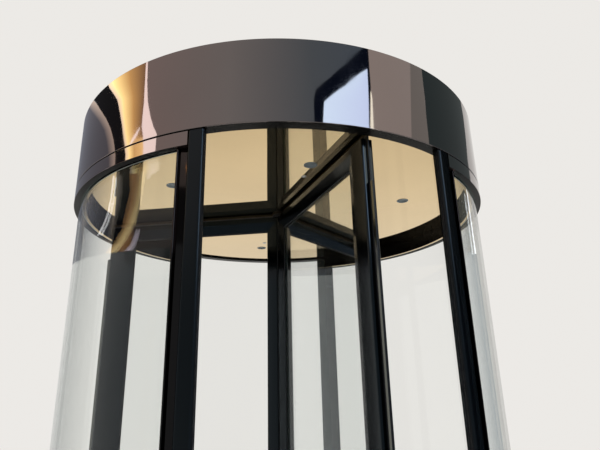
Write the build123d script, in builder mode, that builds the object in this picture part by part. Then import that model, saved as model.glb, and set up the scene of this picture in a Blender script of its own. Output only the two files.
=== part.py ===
from build123d import *
from math import cos, degrees, radians, sin
import os

# A three-leaf revolving door. Lengths are millimetres and angles degrees. The origin is on
# the floor at the turning axis, +Z is up and the front entrance faces -Y.

# Drum plan
outer_radius = 1050.0
entrance_angle = 60.0
post_width = 63.0
post_depth = 40.0
post_round = 10.0
ring_depth = 54.0
side_glass_setback = 25.0
side_glass_thickness = 12.0
side_glass_joint = 4.0
end_profile_width = 53.0
end_profile_proud = 2.0
end_profile_lean = 10.0
post_seal_width = 26.0
post_seal_thickness = 4.0

# Drum heights
floor_ring_height = 8.0
floor_ring_width = 90.0
floor_ring_slope = 2.0
passage_height = 2450.0
header_height = 56.0
base_rail_height = 63.0
reveal_height = 6.5
reveal_depth = 6.0
neck_chamfer = 4.0
canopy_height = 357.0

# Canopy
fascia_thickness = 4.0
lip_thickness = 10.0
soffit_thickness = 6.0
roof_thickness = 4.0
roof_setdown = 8.0
light_count = 6
light_inset = 324.0
light_radius = 26.0
light_trim_width = 4.0
light_depth = 38.0
light_trim_thickness = 1.5
sensor_inset = 447.0
sensor_radius = 12.0
sensor_height = 1.5

# Rotor
leaf_names = ("leaf_a", "leaf_b", "leaf_c")
rest_angle = -81.4
leaf_thickness = 50.0
leaf_start = 16.0
core_corner = 3.0
bevel_width = 50.0
bevel_edge = 20.0
rail_flat = 26.0
inner_stile_flat = 6.0
outer_stile_flat = 85.0
stile_round = 8.0
leaf_glass_thickness = 10.0
seal_height = 8.0
seal_thickness = 12.0
seal_tip_thickness = 6.0
edge_seal_reach = 24.0
upper_seal_length = 185.0
seal_joint = 2.0
seal_end_gap = 16.0

# Bearings
pivot_plate_width = 120.0
pivot_plate_chamfer = 2.0
pivot_radius = 10.0
pivot_height = 38.0
pivot_chamfer = 1.0
shaft_radius = 14.0
shaft_height = 28.0
bearing_width = 110.0
bearing_height = 22.0
bearing_corner = 10.0

# Fits
running_clearance = 6.0
glazing_clearance = 0.5
glass_grip = 12.0
groove_depth = 15.0
leaf_glass_grip = 10.0
leaf_groove_depth = 12.0
bore_clearance = 0.05
thrust_clearance = 0.3
shaft_hole_clearance = 4.0
fitting_clearance = 0.5

# Values worked out from the sizes above
half_wall_angle = 90.0 - entrance_angle / 2.0
post_angle = degrees(post_width / outer_radius)
drum_inner_radius = outer_radius - post_depth
ring_inner_radius = outer_radius - ring_depth
side_glass_outer = outer_radius - side_glass_setback
side_glass_inner = side_glass_outer - side_glass_thickness
profile_angle = degrees(end_profile_width / side_glass_outer)
joint_angle = degrees(side_glass_joint / side_glass_outer)
post_top = passage_height - reveal_height
header_bottom = post_top - header_height
base_rail_top = floor_ring_height + base_rail_height
soffit_bottom = passage_height + lip_thickness
soffit_top = soffit_bottom + soffit_thickness
fascia_inner = outer_radius - fascia_thickness
soffit_radius = fascia_inner - fitting_clearance
light_circle = ring_inner_radius - light_inset
sensor_circle = ring_inner_radius - sensor_inset
canopy_top = passage_height + canopy_height
roof_top = canopy_top - roof_setdown
rotor_bottom = floor_ring_height + running_clearance
rotor_top = soffit_bottom - max(light_trim_thickness, sensor_height) - running_clearance
leaf_end = drum_inner_radius - running_clearance - edge_seal_reach
upper_seal_reach = ring_inner_radius - running_clearance - leaf_end
leaf_bottom = rotor_bottom + seal_height
leaf_top = rotor_top - seal_height
upper_seal_start = rotor_top - upper_seal_length
glass_start = leaf_start + inner_stile_flat + bevel_width
glass_end = leaf_end - outer_stile_flat - bevel_width
glass_bottom = leaf_bottom + rail_flat + bevel_width
glass_top = leaf_top - rail_flat - bevel_width
leaf_groove = leaf_glass_thickness + 2 * glazing_clearance
leaf_step = 360.0 / len(leaf_names)

os.makedirs("parts", exist_ok=True)


def finish(solid, name):
    """Label a finished piece and write it to its own file."""
    solid.label = name
    export_step(solid, f"parts/{name}.step")


def upright_plane(angle):
    """Plane through the axis at an angle: x runs outwards and y runs up."""
    a = radians(angle)
    return Plane(origin=(0, 0, 0), x_dir=(cos(a), sin(a), 0), z_dir=(sin(a), -cos(a), 0))


def level_plane(angle, height):
    """Level plane at a height, with x running outwards at an angle."""
    a = radians(angle)
    return Plane(origin=(0, 0, height), x_dir=(cos(a), sin(a), 0), z_dir=(0, 0, 1))


def ring_sector(inner, outer, start, sweep):
    """Ring sector between two radii, from a start angle through a sweep."""
    with BuildSketch() as sector:
        with BuildLine():
            outside = CenterArc((0, 0), outer, start, sweep)
            inside = CenterArc((0, 0), inner, start, sweep)
            Line(outside @ 0, inside @ 0)
            Line(outside @ 1, inside @ 1)
        make_face()
    return sector.sketch


# Floor ring that carries the walls and crosses both entrances as a threshold
with BuildPart() as floor_ring:
    with BuildSketch(Plane.XZ):
        with BuildLine():
            Polyline(
                (outer_radius - floor_ring_width, 0),
                (outer_radius, 0),
                (outer_radius - floor_ring_slope, floor_ring_height),
                (outer_radius - floor_ring_width + floor_ring_slope, floor_ring_height),
                close=True,
            )
        make_face()
    revolve(axis=Axis.Z)
finish(floor_ring.part, "floor_ring")

# Floor bearing: a square cover plate with the pin that the rotor turns on
with BuildPart() as floor_bearing:
    with BuildSketch(Plane.XY):
        Rectangle(pivot_plate_width, pivot_plate_width)
    extrude(amount=floor_ring_height)
    chamfer(floor_bearing.edges().group_by(Axis.Z)[-1], length=pivot_plate_chamfer)
    with BuildSketch(Plane.XY.offset(floor_ring_height)):
        Circle(pivot_radius)
    extrude(amount=pivot_height)
    chamfer(floor_bearing.edges().group_by(Axis.Z)[-1], length=pivot_chamfer)
finish(floor_bearing.part, "floor_bearing")


# Posts: rounded covers beside each entrance, with a set-back neck under the canopy
def outer_corners(plan, angle):
    """The two corners of a plan that lie furthest out in the direction of an angle."""
    outwards = Axis((0, 0, 0), (cos(radians(angle)), sin(radians(angle)), 0))
    return plan.vertices().sort_by(outwards)[-2:]


post_middle = half_wall_angle + post_angle / 2
post_places = {
    "post_front_right": -post_middle,
    "post_rear_right": post_middle,
    "post_rear_left": 180.0 - post_middle,
    "post_front_left": 180.0 + post_middle,
}
for post_name, middle in post_places.items():
    post_start = middle - post_angle / 2
    with BuildPart() as post:
        with BuildSketch(Plane.XY.offset(floor_ring_height)) as post_plan:
            add(ring_sector(drum_inner_radius, outer_radius, post_start, post_angle))
            fillet(outer_corners(post_plan, middle), radius=post_round)
        extrude(amount=post_top - floor_ring_height)
        with BuildSketch(Plane.XY.offset(post_top)) as neck_plan:
            add(ring_sector(drum_inner_radius, outer_radius - reveal_depth, post_start, post_angle))
            chamfer(outer_corners(neck_plan, middle), length=neck_chamfer)
        extrude(amount=reveal_height)
    finish(post.part, post_name)

# Post seals: rubber strips along the entrance side of each post
with BuildPart() as post_seals:
    seal_angle = degrees(post_seal_thickness / outer_radius)
    seal_outer = drum_inner_radius + (post_depth + post_seal_width) / 2
    seal_starts = [
        half_wall_angle + post_angle,
        180.0 - half_wall_angle - post_angle - seal_angle,
        180.0 + half_wall_angle + post_angle,
        -half_wall_angle - post_angle - seal_angle,
    ]
    for start in seal_starts:
        with BuildSketch(Plane.XY.offset(floor_ring_height)):
            add(ring_sector(seal_outer - post_seal_width, seal_outer, start, seal_angle))
        extrude(amount=post_top - floor_ring_height)
finish(post_seals.part, "post_seals")

# Side walls: header and base rail with a glazing groove, two bent panes and their end profiles
groove_inner = side_glass_inner - glazing_clearance
groove_outer = side_glass_outer + glazing_clearance
for side, wall_middle, ends in (("right", 0.0, ("front", "rear")), ("left", 180.0, ("rear", "front"))):
    wall_start = wall_middle - half_wall_angle

    with BuildPart() as header:
        with BuildSketch(upright_plane(wall_start)):
            with Locations((ring_inner_radius, header_bottom)):
                Rectangle(ring_depth, header_height, align=(Align.MIN, Align.MIN))
            with Locations((ring_inner_radius, post_top)):
                Rectangle(ring_depth - reveal_depth, reveal_height, align=(Align.MIN, Align.MIN))
            with Locations((groove_inner, header_bottom)):
                Rectangle(groove_outer - groove_inner, groove_depth,
                          align=(Align.MIN, Align.MIN), mode=Mode.SUBTRACT)
        revolve(axis=Axis.Z, revolution_arc=2 * half_wall_angle)
    finish(header.part, f"header_{side}")

    with BuildPart() as base_rail:
        with BuildSketch(upright_plane(wall_start)):
            with Locations((drum_inner_radius, floor_ring_height)):
                Rectangle(post_depth, base_rail_height, align=(Align.MIN, Align.MIN))
            with Locations((groove_inner, base_rail_top)):
                Rectangle(groove_outer - groove_inner, groove_depth,
                          align=(Align.MIN, Align.MAX), mode=Mode.SUBTRACT)
        revolve(axis=Axis.Z, revolution_arc=2 * half_wall_angle)
    finish(base_rail.part, f"base_rail_{side}")

    pane_angle = half_wall_angle - profile_angle - joint_angle / 2
    pane_starts = (wall_start + profile_angle, wall_middle + joint_angle / 2)
    for end, start in zip(ends, pane_starts):
        with BuildPart() as side_glass:
            with BuildSketch(Plane.XY.offset(base_rail_top - glass_grip)):
                add(ring_sector(side_glass_inner, side_glass_outer, start, pane_angle))
            extrude(amount=header_bottom - base_rail_top + 2 * glass_grip)
        finish(side_glass.part, f"side_glass_{side}_{end}")

with BuildPart() as end_profiles:
    glass_side = Vector(side_glass_outer + end_profile_proud, 0)
    post_side = glass_side - Vector(end_profile_lean, 0)
    for middle, turn in ((0.0, 1), (0.0, -1), (180.0, 1), (180.0, -1)):
        at_post = middle + turn * half_wall_angle
        at_glass = at_post - turn * profile_angle
        with BuildSketch(Plane.XY.offset(base_rail_top)):
            with BuildLine():
                inner_arc = CenterArc((0, 0), drum_inner_radius, at_post, -turn * profile_angle)
                outer_face = Line(post_side.rotate(Axis.Z, at_post), glass_side.rotate(Axis.Z, at_glass))
                Line(inner_arc @ 0, outer_face @ 0)
                Line(inner_arc @ 1, outer_face @ 1)
            make_face()
        extrude(amount=header_bottom - base_rail_top)
finish(end_profiles.part, "end_profiles")

# Canopy: tall fascia band, flat lip ring round the ceiling opening, soffit that lies on it, and roof
with BuildPart() as fascia:
    with BuildSketch(Plane.XY.offset(passage_height)):
        Circle(outer_radius)
        Circle(fascia_inner, mode=Mode.SUBTRACT)
    extrude(amount=canopy_height)
finish(fascia.part, "fascia")

with BuildPart() as lip_ring:
    with BuildSketch(Plane.XY.offset(passage_height)):
        Circle(fascia_inner)
        Circle(ring_inner_radius, mode=Mode.SUBTRACT)
    extrude(amount=lip_thickness)
finish(lip_ring.part, "lip_ring")

with BuildPart() as soffit:
    with BuildSketch(Plane.XY.offset(soffit_bottom)):
        Circle(soffit_radius)
        Circle(shaft_radius + shaft_hole_clearance, mode=Mode.SUBTRACT)
        with PolarLocations(light_circle, light_count, start_angle=90.0):
            Circle(light_radius + fitting_clearance, mode=Mode.SUBTRACT)
    extrude(amount=soffit_thickness)
finish(soffit.part, "soffit")

with BuildPart() as roof:
    with BuildSketch(Plane.XY.offset(roof_top - roof_thickness)):
        Circle(fascia_inner)
    extrude(amount=roof_thickness)
finish(roof.part, "roof")

# Downlights: cans in the soffit's holes, each with a trim ring that seats against the soffit
with BuildPart() as downlights:
    with BuildSketch(Plane.XY.offset(soffit_bottom - light_trim_thickness)):
        with PolarLocations(light_circle, light_count, start_angle=90.0):
            Circle(light_radius + light_trim_width)
    extrude(amount=light_trim_thickness)
    with BuildSketch(Plane.XY.offset(soffit_bottom)):
        with PolarLocations(light_circle, light_count, start_angle=90.0):
            Circle(light_radius)
    extrude(amount=light_depth)
finish(downlights.part, "downlights")

# Sensors: a slim disc on the soffit behind each entrance
with BuildPart() as sensors:
    with BuildSketch(Plane.XY.offset(soffit_bottom)):
        with PolarLocations(sensor_circle, 2, start_angle=90.0):
            Circle(sensor_radius)
    extrude(amount=-sensor_height)
finish(sensors.part, "sensors")

# Top bearing: a square flange block, seated on the soffit round the rotor's shaft
with BuildPart() as top_bearing:
    with BuildSketch(Plane.XY.offset(soffit_top)) as flange:
        Rectangle(bearing_width, bearing_width)
        chamfer(flange.vertices(), length=bearing_corner)
        Circle(shaft_radius + bore_clearance, mode=Mode.SUBTRACT)
    extrude(amount=bearing_height)
finish(top_bearing.part, "top_bearing")

# Rotor core: a three-sided bar with a pivot bore below and a round shaft above
with BuildPart() as core:
    with BuildSketch(Plane.XY.offset(rotor_bottom)) as bar:
        RegularPolygon(leaf_start, len(leaf_names), major_radius=False, rotation=rest_angle + leaf_step / 2)
        fillet(bar.vertices(), radius=core_corner)
    extrude(amount=rotor_top - rotor_bottom)
    with BuildSketch(Plane.XY.offset(rotor_top)):
        Circle(shaft_radius)
    extrude(amount=shaft_height)
    with BuildSketch(Plane.XY.offset(rotor_bottom)):
        Circle(pivot_radius + bore_clearance)
    pivot_top = floor_ring_height + pivot_height
    extrude(amount=pivot_top + thrust_clearance - rotor_bottom, mode=Mode.SUBTRACT)
finish(core.part, "core")


# Leaf frames: every member thins towards the glass, and the bevels meet in mitres
def member_section(flat, corner):
    """Half-open section of a frame member: x along its width from the outside to the glass."""
    half = leaf_thickness / 2
    with BuildSketch() as section:
        with BuildLine():
            Polyline(
                (0, -half),
                (flat, -half),
                (flat + bevel_width, -bevel_edge / 2),
                (flat + bevel_width, bevel_edge / 2),
                (flat, half),
                (0, half),
                close=True,
            )
        make_face()
        if corner > 0:
            fillet(section.vertices().sort_by(Axis.X)[:2], radius=corner)
        with Locations((flat + bevel_width, 0)):
            Rectangle(leaf_groove_depth, leaf_groove, align=(Align.MAX, Align.CENTER), mode=Mode.SUBTRACT)
    return section.sketch


def make_stile(name, angle, outside, direction, flat, corner):
    """Upright frame member that starts at a radius and widens towards the glass."""
    inside = outside + direction * flat
    at_glass = inside + direction * bevel_width
    a = radians(angle)
    width_dir = (direction * cos(a), direction * sin(a), 0)
    origin = (outside * cos(a), outside * sin(a), leaf_bottom)
    with BuildPart() as stile:
        with BuildSketch(Plane(origin=origin, x_dir=width_dir, z_dir=(0, 0, 1))):
            add(member_section(flat, corner))
        extrude(amount=leaf_top - leaf_bottom)
        with BuildSketch(upright_plane(angle)):
            with BuildLine():
                Polyline(
                    (outside, leaf_bottom),
                    (inside, leaf_bottom),
                    (inside, leaf_bottom + rail_flat),
                    (at_glass, glass_bottom),
                    (at_glass, glass_top),
                    (inside, leaf_top - rail_flat),
                    (inside, leaf_top),
                    (outside, leaf_top),
                    close=True,
                )
            make_face()
        extrude(amount=leaf_thickness, both=True, mode=Mode.INTERSECT)
    finish(stile.part, name)


def make_rail(name, angle, outside, direction):
    """Level frame member between the stiles that widens towards the glass."""
    inside = outside + direction * rail_flat
    at_glass = inside + direction * bevel_width
    start = leaf_start + inner_stile_flat
    end = leaf_end - outer_stile_flat
    a = radians(angle)
    origin = (start * cos(a), start * sin(a), outside)
    with BuildPart() as rail:
        with BuildSketch(Plane(origin=origin, x_dir=(0, 0, direction), z_dir=(cos(a), sin(a), 0))):
            add(member_section(rail_flat, 0))
        extrude(amount=end - start)
        with BuildSketch(upright_plane(angle)):
            with BuildLine():
                Polyline(
                    (start, outside),
                    (end, outside),
                    (end, inside),
                    (glass_end, at_glass),
                    (glass_start, at_glass),
                    (start, inside),
                    close=True,
                )
            make_face()
        extrude(amount=leaf_thickness, both=True, mode=Mode.INTERSECT)
    finish(rail.part, name)


def make_leaf_glass(name, angle):
    """Pane held in the grooves of the four frame members."""
    with BuildPart() as pane:
        with BuildSketch(upright_plane(angle)):
            with Locations((glass_start - leaf_glass_grip, glass_bottom - leaf_glass_grip)):
                Rectangle(glass_end - glass_start + 2 * leaf_glass_grip,
                          glass_top - glass_bottom + 2 * leaf_glass_grip,
                          align=(Align.MIN, Align.MIN))
        extrude(amount=leaf_glass_thickness / 2, both=True)
    finish(pane.part, name)


def make_edge_seal(name, angle):
    """Two tapered strips on the free edge: a long one, and a short one that clears the header."""
    half = seal_thickness / 2
    tip = seal_tip_thickness / 2
    lengths = (
        (rotor_bottom, upper_seal_start - seal_joint, edge_seal_reach),
        (upper_seal_start, rotor_top, upper_seal_reach),
    )
    with BuildPart() as edge_seal:
        for bottom, top, reach in lengths:
            with BuildSketch(level_plane(angle, bottom)):
                with BuildLine():
                    Polyline(
                        (leaf_end, -half),
                        (leaf_end + reach, -tip),
                        (leaf_end + reach, tip),
                        (leaf_end, half),
                        close=True,
                    )
                make_face()
            extrude(amount=top - bottom)
    finish(edge_seal.part, name)


def make_rail_seals(name, angle):
    """Brush strips along the bottom and the top of a leaf."""
    seal_start = leaf_start + seal_end_gap
    with BuildPart() as rail_seals:
        with BuildSketch(upright_plane(angle)):
            for bottom in (rotor_bottom, leaf_top):
                with Locations((seal_start, bottom)):
                    Rectangle(leaf_end - seal_start, seal_height, align=(Align.MIN, Align.MIN))
        extrude(amount=seal_thickness / 2, both=True)
    finish(rail_seals.part, name)


for number, leaf in enumerate(leaf_names):
    leaf_angle = rest_angle - leaf_step * number
    make_stile(f"{leaf}_inner_stile", leaf_angle, leaf_start, 1, inner_stile_flat, 0)
    make_stile(f"{leaf}_outer_stile", leaf_angle, leaf_end, -1, outer_stile_flat, stile_round)
    make_rail(f"{leaf}_bottom_rail", leaf_angle, leaf_bottom, 1)
    make_rail(f"{leaf}_top_rail", leaf_angle, leaf_top, -1)
    make_leaf_glass(f"{leaf}_glass", leaf_angle)
    make_edge_seal(f"{leaf}_edge_seal", leaf_angle)
    make_rail_seals(f"{leaf}_rail_seals", leaf_angle)
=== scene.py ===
"""Looks of a three-leaf revolving door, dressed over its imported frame.

Lengths are metres and angles radians, unless a name says degrees. The origin is on the
floor at the turning axis, +Z is up and the front entrance faces -Y.
"""

import logging
from dataclasses import dataclass, field
from enum import Enum
from math import atan2, cos, degrees, pi, radians, sin, tau
from typing import Iterable, Sequence

import bmesh
import bpy
import numpy as np
from mathutils import Matrix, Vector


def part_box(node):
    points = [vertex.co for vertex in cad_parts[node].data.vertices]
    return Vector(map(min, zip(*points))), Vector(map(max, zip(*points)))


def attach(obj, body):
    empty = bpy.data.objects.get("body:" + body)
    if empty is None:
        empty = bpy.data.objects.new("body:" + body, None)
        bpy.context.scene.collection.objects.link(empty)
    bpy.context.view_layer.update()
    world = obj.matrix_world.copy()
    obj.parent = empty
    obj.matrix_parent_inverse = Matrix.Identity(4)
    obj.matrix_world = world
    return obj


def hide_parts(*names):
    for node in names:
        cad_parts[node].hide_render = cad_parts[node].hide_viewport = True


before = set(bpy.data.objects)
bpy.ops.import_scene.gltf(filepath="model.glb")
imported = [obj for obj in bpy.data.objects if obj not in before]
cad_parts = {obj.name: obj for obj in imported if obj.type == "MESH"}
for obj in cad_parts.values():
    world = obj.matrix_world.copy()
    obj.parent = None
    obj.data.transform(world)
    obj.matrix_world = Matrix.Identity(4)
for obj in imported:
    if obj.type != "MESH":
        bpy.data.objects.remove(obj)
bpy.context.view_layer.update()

Array = np.ndarray
Colour = tuple[float, float, float]
Point = tuple[float, float, float]
Curve = tuple[tuple[float, float], ...]

MM = 0.001
# Distance of the extra points beside a rounded corner, which keep its shading off the flat faces.
HOLD = 0.4 * MM
SHARP_DEGREES = 40.0
# Points nearer to each other than this are one vertex.
WELD = 1e-7
# Solids of one node that stand within this turn of an angle belong together.
NEAR_DEGREES = 15.0
# How far a board for the mirrors reaches over its neighbour, so that no gap shows between them.
OVERLAP_DEGREES = 0.1
LEAVES = ("leaf_a", "leaf_b", "leaf_c")
BACKGROUND: Colour = (0.84, 0.82, 0.79)
SHARE_NAME = "share_across"

log = logging.getLogger("revolving_door")


class Body(Enum):
    """The two bodies of the frame."""

    DRUM = "drum"
    ROTOR = "rotor"


class Slot(Enum):
    """The record's material slots."""

    CANOPY = "canopy_black"
    DRUM = "drum_black"
    LEAF = "leaf_black"
    GLASS = "clear_glass"
    SEAL = "seal_rubber"
    SOFFIT = "soffit_champagne"
    ROOF = "roof_paint"
    LIGHT = "light_face"
    SENSOR = "sensor_face"
    FLOOR = "floor_steel"
    BEARING = "bearing_steel"


class Grain(Enum):
    """The way that brushing lines run on a metal."""

    ROUND = "round the axis"
    LEVEL = "along X"


# Shader recipes


class Value:
    """A number in a shader: arithmetic on it adds Math nodes."""

    def __init__(self, recipe: "Recipe", socket: bpy.types.NodeSocket) -> None:
        """Wraps an output socket.

        Args:
            recipe: The node tree that the socket belongs to.
            socket: The output that carries the number.
        """
        self.recipe = recipe
        self.socket = socket

    def __add__(self, other: "Value | float") -> "Value":
        """Sum of the two."""
        return self.recipe.math("ADD", self, other)

    def __sub__(self, other: "Value | float") -> "Value":
        """This number less the other."""
        return self.recipe.math("SUBTRACT", self, other)

    def __mul__(self, other: "Value | float") -> "Value":
        """Product of the two."""
        return self.recipe.math("MULTIPLY", self, other)

    def __truediv__(self, other: "Value | float") -> "Value":
        """This number divided by the other."""
        return self.recipe.math("DIVIDE", self, other)

    def __pow__(self, other: float) -> "Value":
        """This number raised to a power."""
        return self.recipe.math("POWER", self, other)

    def __rsub__(self, other: float) -> "Value":
        """A plain number less this one."""
        return self.recipe.math("SUBTRACT", other, self)

    __radd__ = __add__
    __rmul__ = __mul__

    def above(self, low: float, high: float) -> "Value":
        """Smooth step of this number.

        Args:
            low: Where the step starts at 0.
            high: Where the step reaches 1.

        Returns:
            A value from 0 to 1.
        """
        settings = {"interpolation_type": "SMOOTHSTEP"}
        inputs = {"Value": self, "From Min": low, "From Max": high}
        return self.recipe.value("ShaderNodeMapRange", settings, inputs, "Result")


class Recipe:
    """The node tree of one finish."""

    def __init__(self, tree: bpy.types.NodeTree) -> None:
        """Starts from an empty tree.

        Args:
            tree: The tree of a material or of the world.
        """
        self.tree = tree
        tree.nodes.clear()

    def node(
        self, kind: str, settings: dict | None = None, inputs: dict | None = None
    ) -> bpy.types.Node:
        """Adds a node of any type.

        Args:
            kind: The node's type name.
            settings: Its own settings, which are set before its sockets.
            inputs: Socket name or identifier to a number, colour, Value or output socket.

        Returns:
            The new node.
        """
        made = self.tree.nodes.new(kind)
        for name, setting in (settings or {}).items():
            setattr(made, name, setting)
        for name, given in (inputs or {}).items():
            socket = next(s for s in made.inputs if name in (s.identifier, s.name))
            if isinstance(given, Value):
                self.tree.links.new(given.socket, socket)
            elif isinstance(given, bpy.types.NodeSocket):
                self.tree.links.new(given, socket)
            elif isinstance(given, tuple) and socket.type == "RGBA":
                socket.default_value = (*given, 1.0)
            else:
                socket.default_value = given
        return made

    def value(self, kind: str, settings: dict | None, inputs: dict | None, output: str) -> Value:
        """Adds a node and wraps one of its outputs.

        Args:
            kind: The node's type name.
            settings: Its own settings.
            inputs: Its socket values or links.
            output: The output's name.

        Returns:
            That output as a value.
        """
        return Value(self, self.node(kind, settings, inputs).outputs[output])

    def math(self, operation: str, *terms: "Value | float") -> Value:
        """Adds one Math node.

        Args:
            operation: The Math operation.
            terms: Its one, two or three terms.

        Returns:
            The result.
        """
        made = self.node("ShaderNodeMath", {"operation": operation})
        for socket, term in zip(made.inputs, terms):
            if isinstance(term, Value):
                self.tree.links.new(term.socket, socket)
            else:
                socket.default_value = term
        return Value(self, made.outputs[0])

    def places(self) -> bpy.types.NodeSocket:
        """Object coordinates, which are metres in the frame."""
        return self.node("ShaderNodeTexCoord").outputs["Object"]

    def stretched(self, scale: Point) -> bpy.types.NodeSocket:
        """Object coordinates with each axis scaled by its own factor."""
        return self.node("ShaderNodeMapping", None, {"Vector": self.places(), "Scale": scale}).outputs[0]

    def parts(self) -> tuple[Value, Value, Value]:
        """The x, y and z of the object coordinates."""
        outputs = self.node("ShaderNodeSeparateXYZ", None, {"Vector": self.places()}).outputs
        return Value(self, outputs[0]), Value(self, outputs[1]), Value(self, outputs[2])

    def seen(self) -> Value:
        """Tells the rays that show a surface from those that only light others.

        Returns:
            1 for camera, mirror and transmission rays, and 0 for the others.
        """
        path = self.node("ShaderNodeLightPath").outputs
        camera, mirror, through = (path[f"Is {ray} Ray"] for ray in ("Camera", "Glossy", "Transmission"))
        return Value(self, camera) + Value(self, mirror) + Value(self, through)

    def noise(
        self, scale: float, detail: float = 2.0, where: bpy.types.NodeSocket | None = None
    ) -> Value:
        """Noise from 0 to 1 about a mean of a half.

        Args:
            scale: Blotches per metre of the coordinates.
            detail: Octaves of finer noise.
            where: The coordinates, or the object's own where none are given.

        Returns:
            The noise.
        """
        inputs = {"Vector": where or self.places(), "Scale": scale, "Detail": detail}
        return self.value("ShaderNodeTexNoise", None, inputs, "Fac")

    def blend(self, share: Value, low: Colour, high: Colour) -> bpy.types.NodeSocket:
        """Colour between two.

        Args:
            share: 0 for all of the first, 1 for all of the second.
            low: The first colour.
            high: The second colour.

        Returns:
            The mixed colour.
        """
        inputs = {"Factor_Float": share, "A_Color": low, "B_Color": high}
        made = self.node("ShaderNodeMix", {"data_type": "RGBA"}, inputs)
        return next(s for s in made.outputs if s.identifier == "Result_Color")

    def bump(self, height: Value, depth: float) -> bpy.types.NodeSocket:
        """Normal that follows a height.

        Args:
            height: The relief, from 0 to 1.
            depth: How deep the whole relief is, in metres.

        Returns:
            The bumped normal.
        """
        return self.node("ShaderNodeBump", None, {"Height": height, "Distance": depth}).outputs[0]

    def mixed(
        self, share: Value, low: bpy.types.NodeSocket, high: bpy.types.NodeSocket
    ) -> bpy.types.NodeSocket:
        """Mix of two shaders.

        Args:
            share: 0 for all of the first, 1 for all of the second.
            low: The first shader.
            high: The second shader.

        Returns:
            The mixed shader.
        """
        made = self.node("ShaderNodeMixShader", None, {"Fac": share})
        self.tree.links.new(low, made.inputs[1])
        self.tree.links.new(high, made.inputs[2])
        return made.outputs[0]

    def shader(self, kind: str, inputs: dict) -> bpy.types.NodeSocket:
        """Adds a shader node and gives its output."""
        return self.node(kind, None, inputs).outputs[0]

    def finish(self, shader: bpy.types.NodeSocket, kind: str = "ShaderNodeOutputMaterial") -> None:
        """Ends the tree in an output node."""
        self.node(kind, None, {"Surface": shader})

    def principled(self, inputs: dict) -> None:
        """Ends the tree in one Principled shader with these inputs."""
        self.finish(self.shader("ShaderNodeBsdfPrincipled", inputs))


def scaled(colour: Colour, factor: float, lift: float = 0.0) -> Colour:
    """The colour times a factor and plus a grey, no brighter than white."""
    return tuple(min(1.0, c * factor + lift) for c in colour)


@dataclass(frozen=True)
class Finish:
    """A finish by name. Each kind of finish writes its own recipe."""

    name: str

    def material(self) -> bpy.types.Material:
        """The finish as a material, made once.

        Returns:
            The material with the finish's name.
        """
        known = bpy.data.materials.get(self.name)
        if known:
            return known
        made = bpy.data.materials.new(self.name)
        made.use_nodes = True
        self.write(Recipe(made.node_tree))
        return made

    def write(self, recipe: Recipe) -> None:
        """Writes the nodes of the finish."""
        raise NotImplementedError


@dataclass(frozen=True)
class MirrorSteel(Finish):
    """Polished sheet with a dark or coloured plating: wiped, a little wavy, near a mirror.

    The edge colour tints what it mirrors at a slant, which keeps a black plating black.
    """

    colour: Colour
    edge: Colour = (1.0, 1.0, 1.0)
    roughness: float = 0.03
    wave_depth: float = 0.5 * MM
    wave_scale: float = 2.2
    smear: float = 0.04
    speck_dulling: float = 0.05
    contrast: float = 0.07
    blotch_scale: float = 1.7
    wipe_scale: float = 6.0
    wipe_stretch: Point = (1.0, 1.0, 0.35)
    speck_scale: float = 240.0

    def write(self, recipe: Recipe) -> None:
        """Plated colour with soft blotches, wipe marks in the gloss and a slow wave in the sheet.

        Args:
            recipe: The tree to write into.
        """
        blotch = recipe.noise(self.blotch_scale, 3.0)
        wiped = recipe.noise(self.wipe_scale, 4.0, recipe.stretched(self.wipe_stretch)).above(0.45, 0.75)
        specks = recipe.noise(self.speck_scale, 1.0).above(0.68, 0.8)
        dark, light = scaled(self.colour, 1.0 - self.contrast), scaled(self.colour, 1.0 + self.contrast)
        recipe.principled({
            "Base Color": recipe.blend(blotch, dark, light),
            "Metallic": 1.0,
            "Specular Tint": self.edge,
            "Roughness": self.roughness + self.smear * wiped + self.speck_dulling * specks,
            "Normal": recipe.bump(recipe.noise(self.wave_scale, 0.0), self.wave_depth),
        })


@dataclass(frozen=True)
class GlossPaint(Finish):
    """Dark glossy coat over metal, with a faint orange peel and dust on its gloss."""

    colour: Colour
    roughness: float = 0.12
    shine: float = 0.2
    peel_depth: float = 0.01 * MM
    peel_scale: float = 160.0
    blotch_scale: float = 5.0
    dust_scale: float = 420.0
    smear: float = 0.05
    dust_dulling: float = 0.08

    def write(self, recipe: Recipe) -> None:
        """Dark coat whose gloss changes with wipe marks and dust.

        Args:
            recipe: The tree to write into.
        """
        blotch = recipe.noise(self.blotch_scale, 4.0)
        wiped = blotch.above(0.4, 0.75)
        dust = recipe.noise(self.dust_scale, 1.0).above(0.66, 0.8)
        dark, light = scaled(self.colour, 0.8), scaled(self.colour, 1.25, 0.001)
        recipe.principled({
            "Base Color": recipe.blend(blotch, dark, light),
            "Roughness": self.roughness + self.smear * wiped + self.dust_dulling * dust,
            "Specular IOR Level": self.shine,
            "Normal": recipe.bump(recipe.noise(self.peel_scale, 2.0), self.peel_depth),
        })


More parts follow.
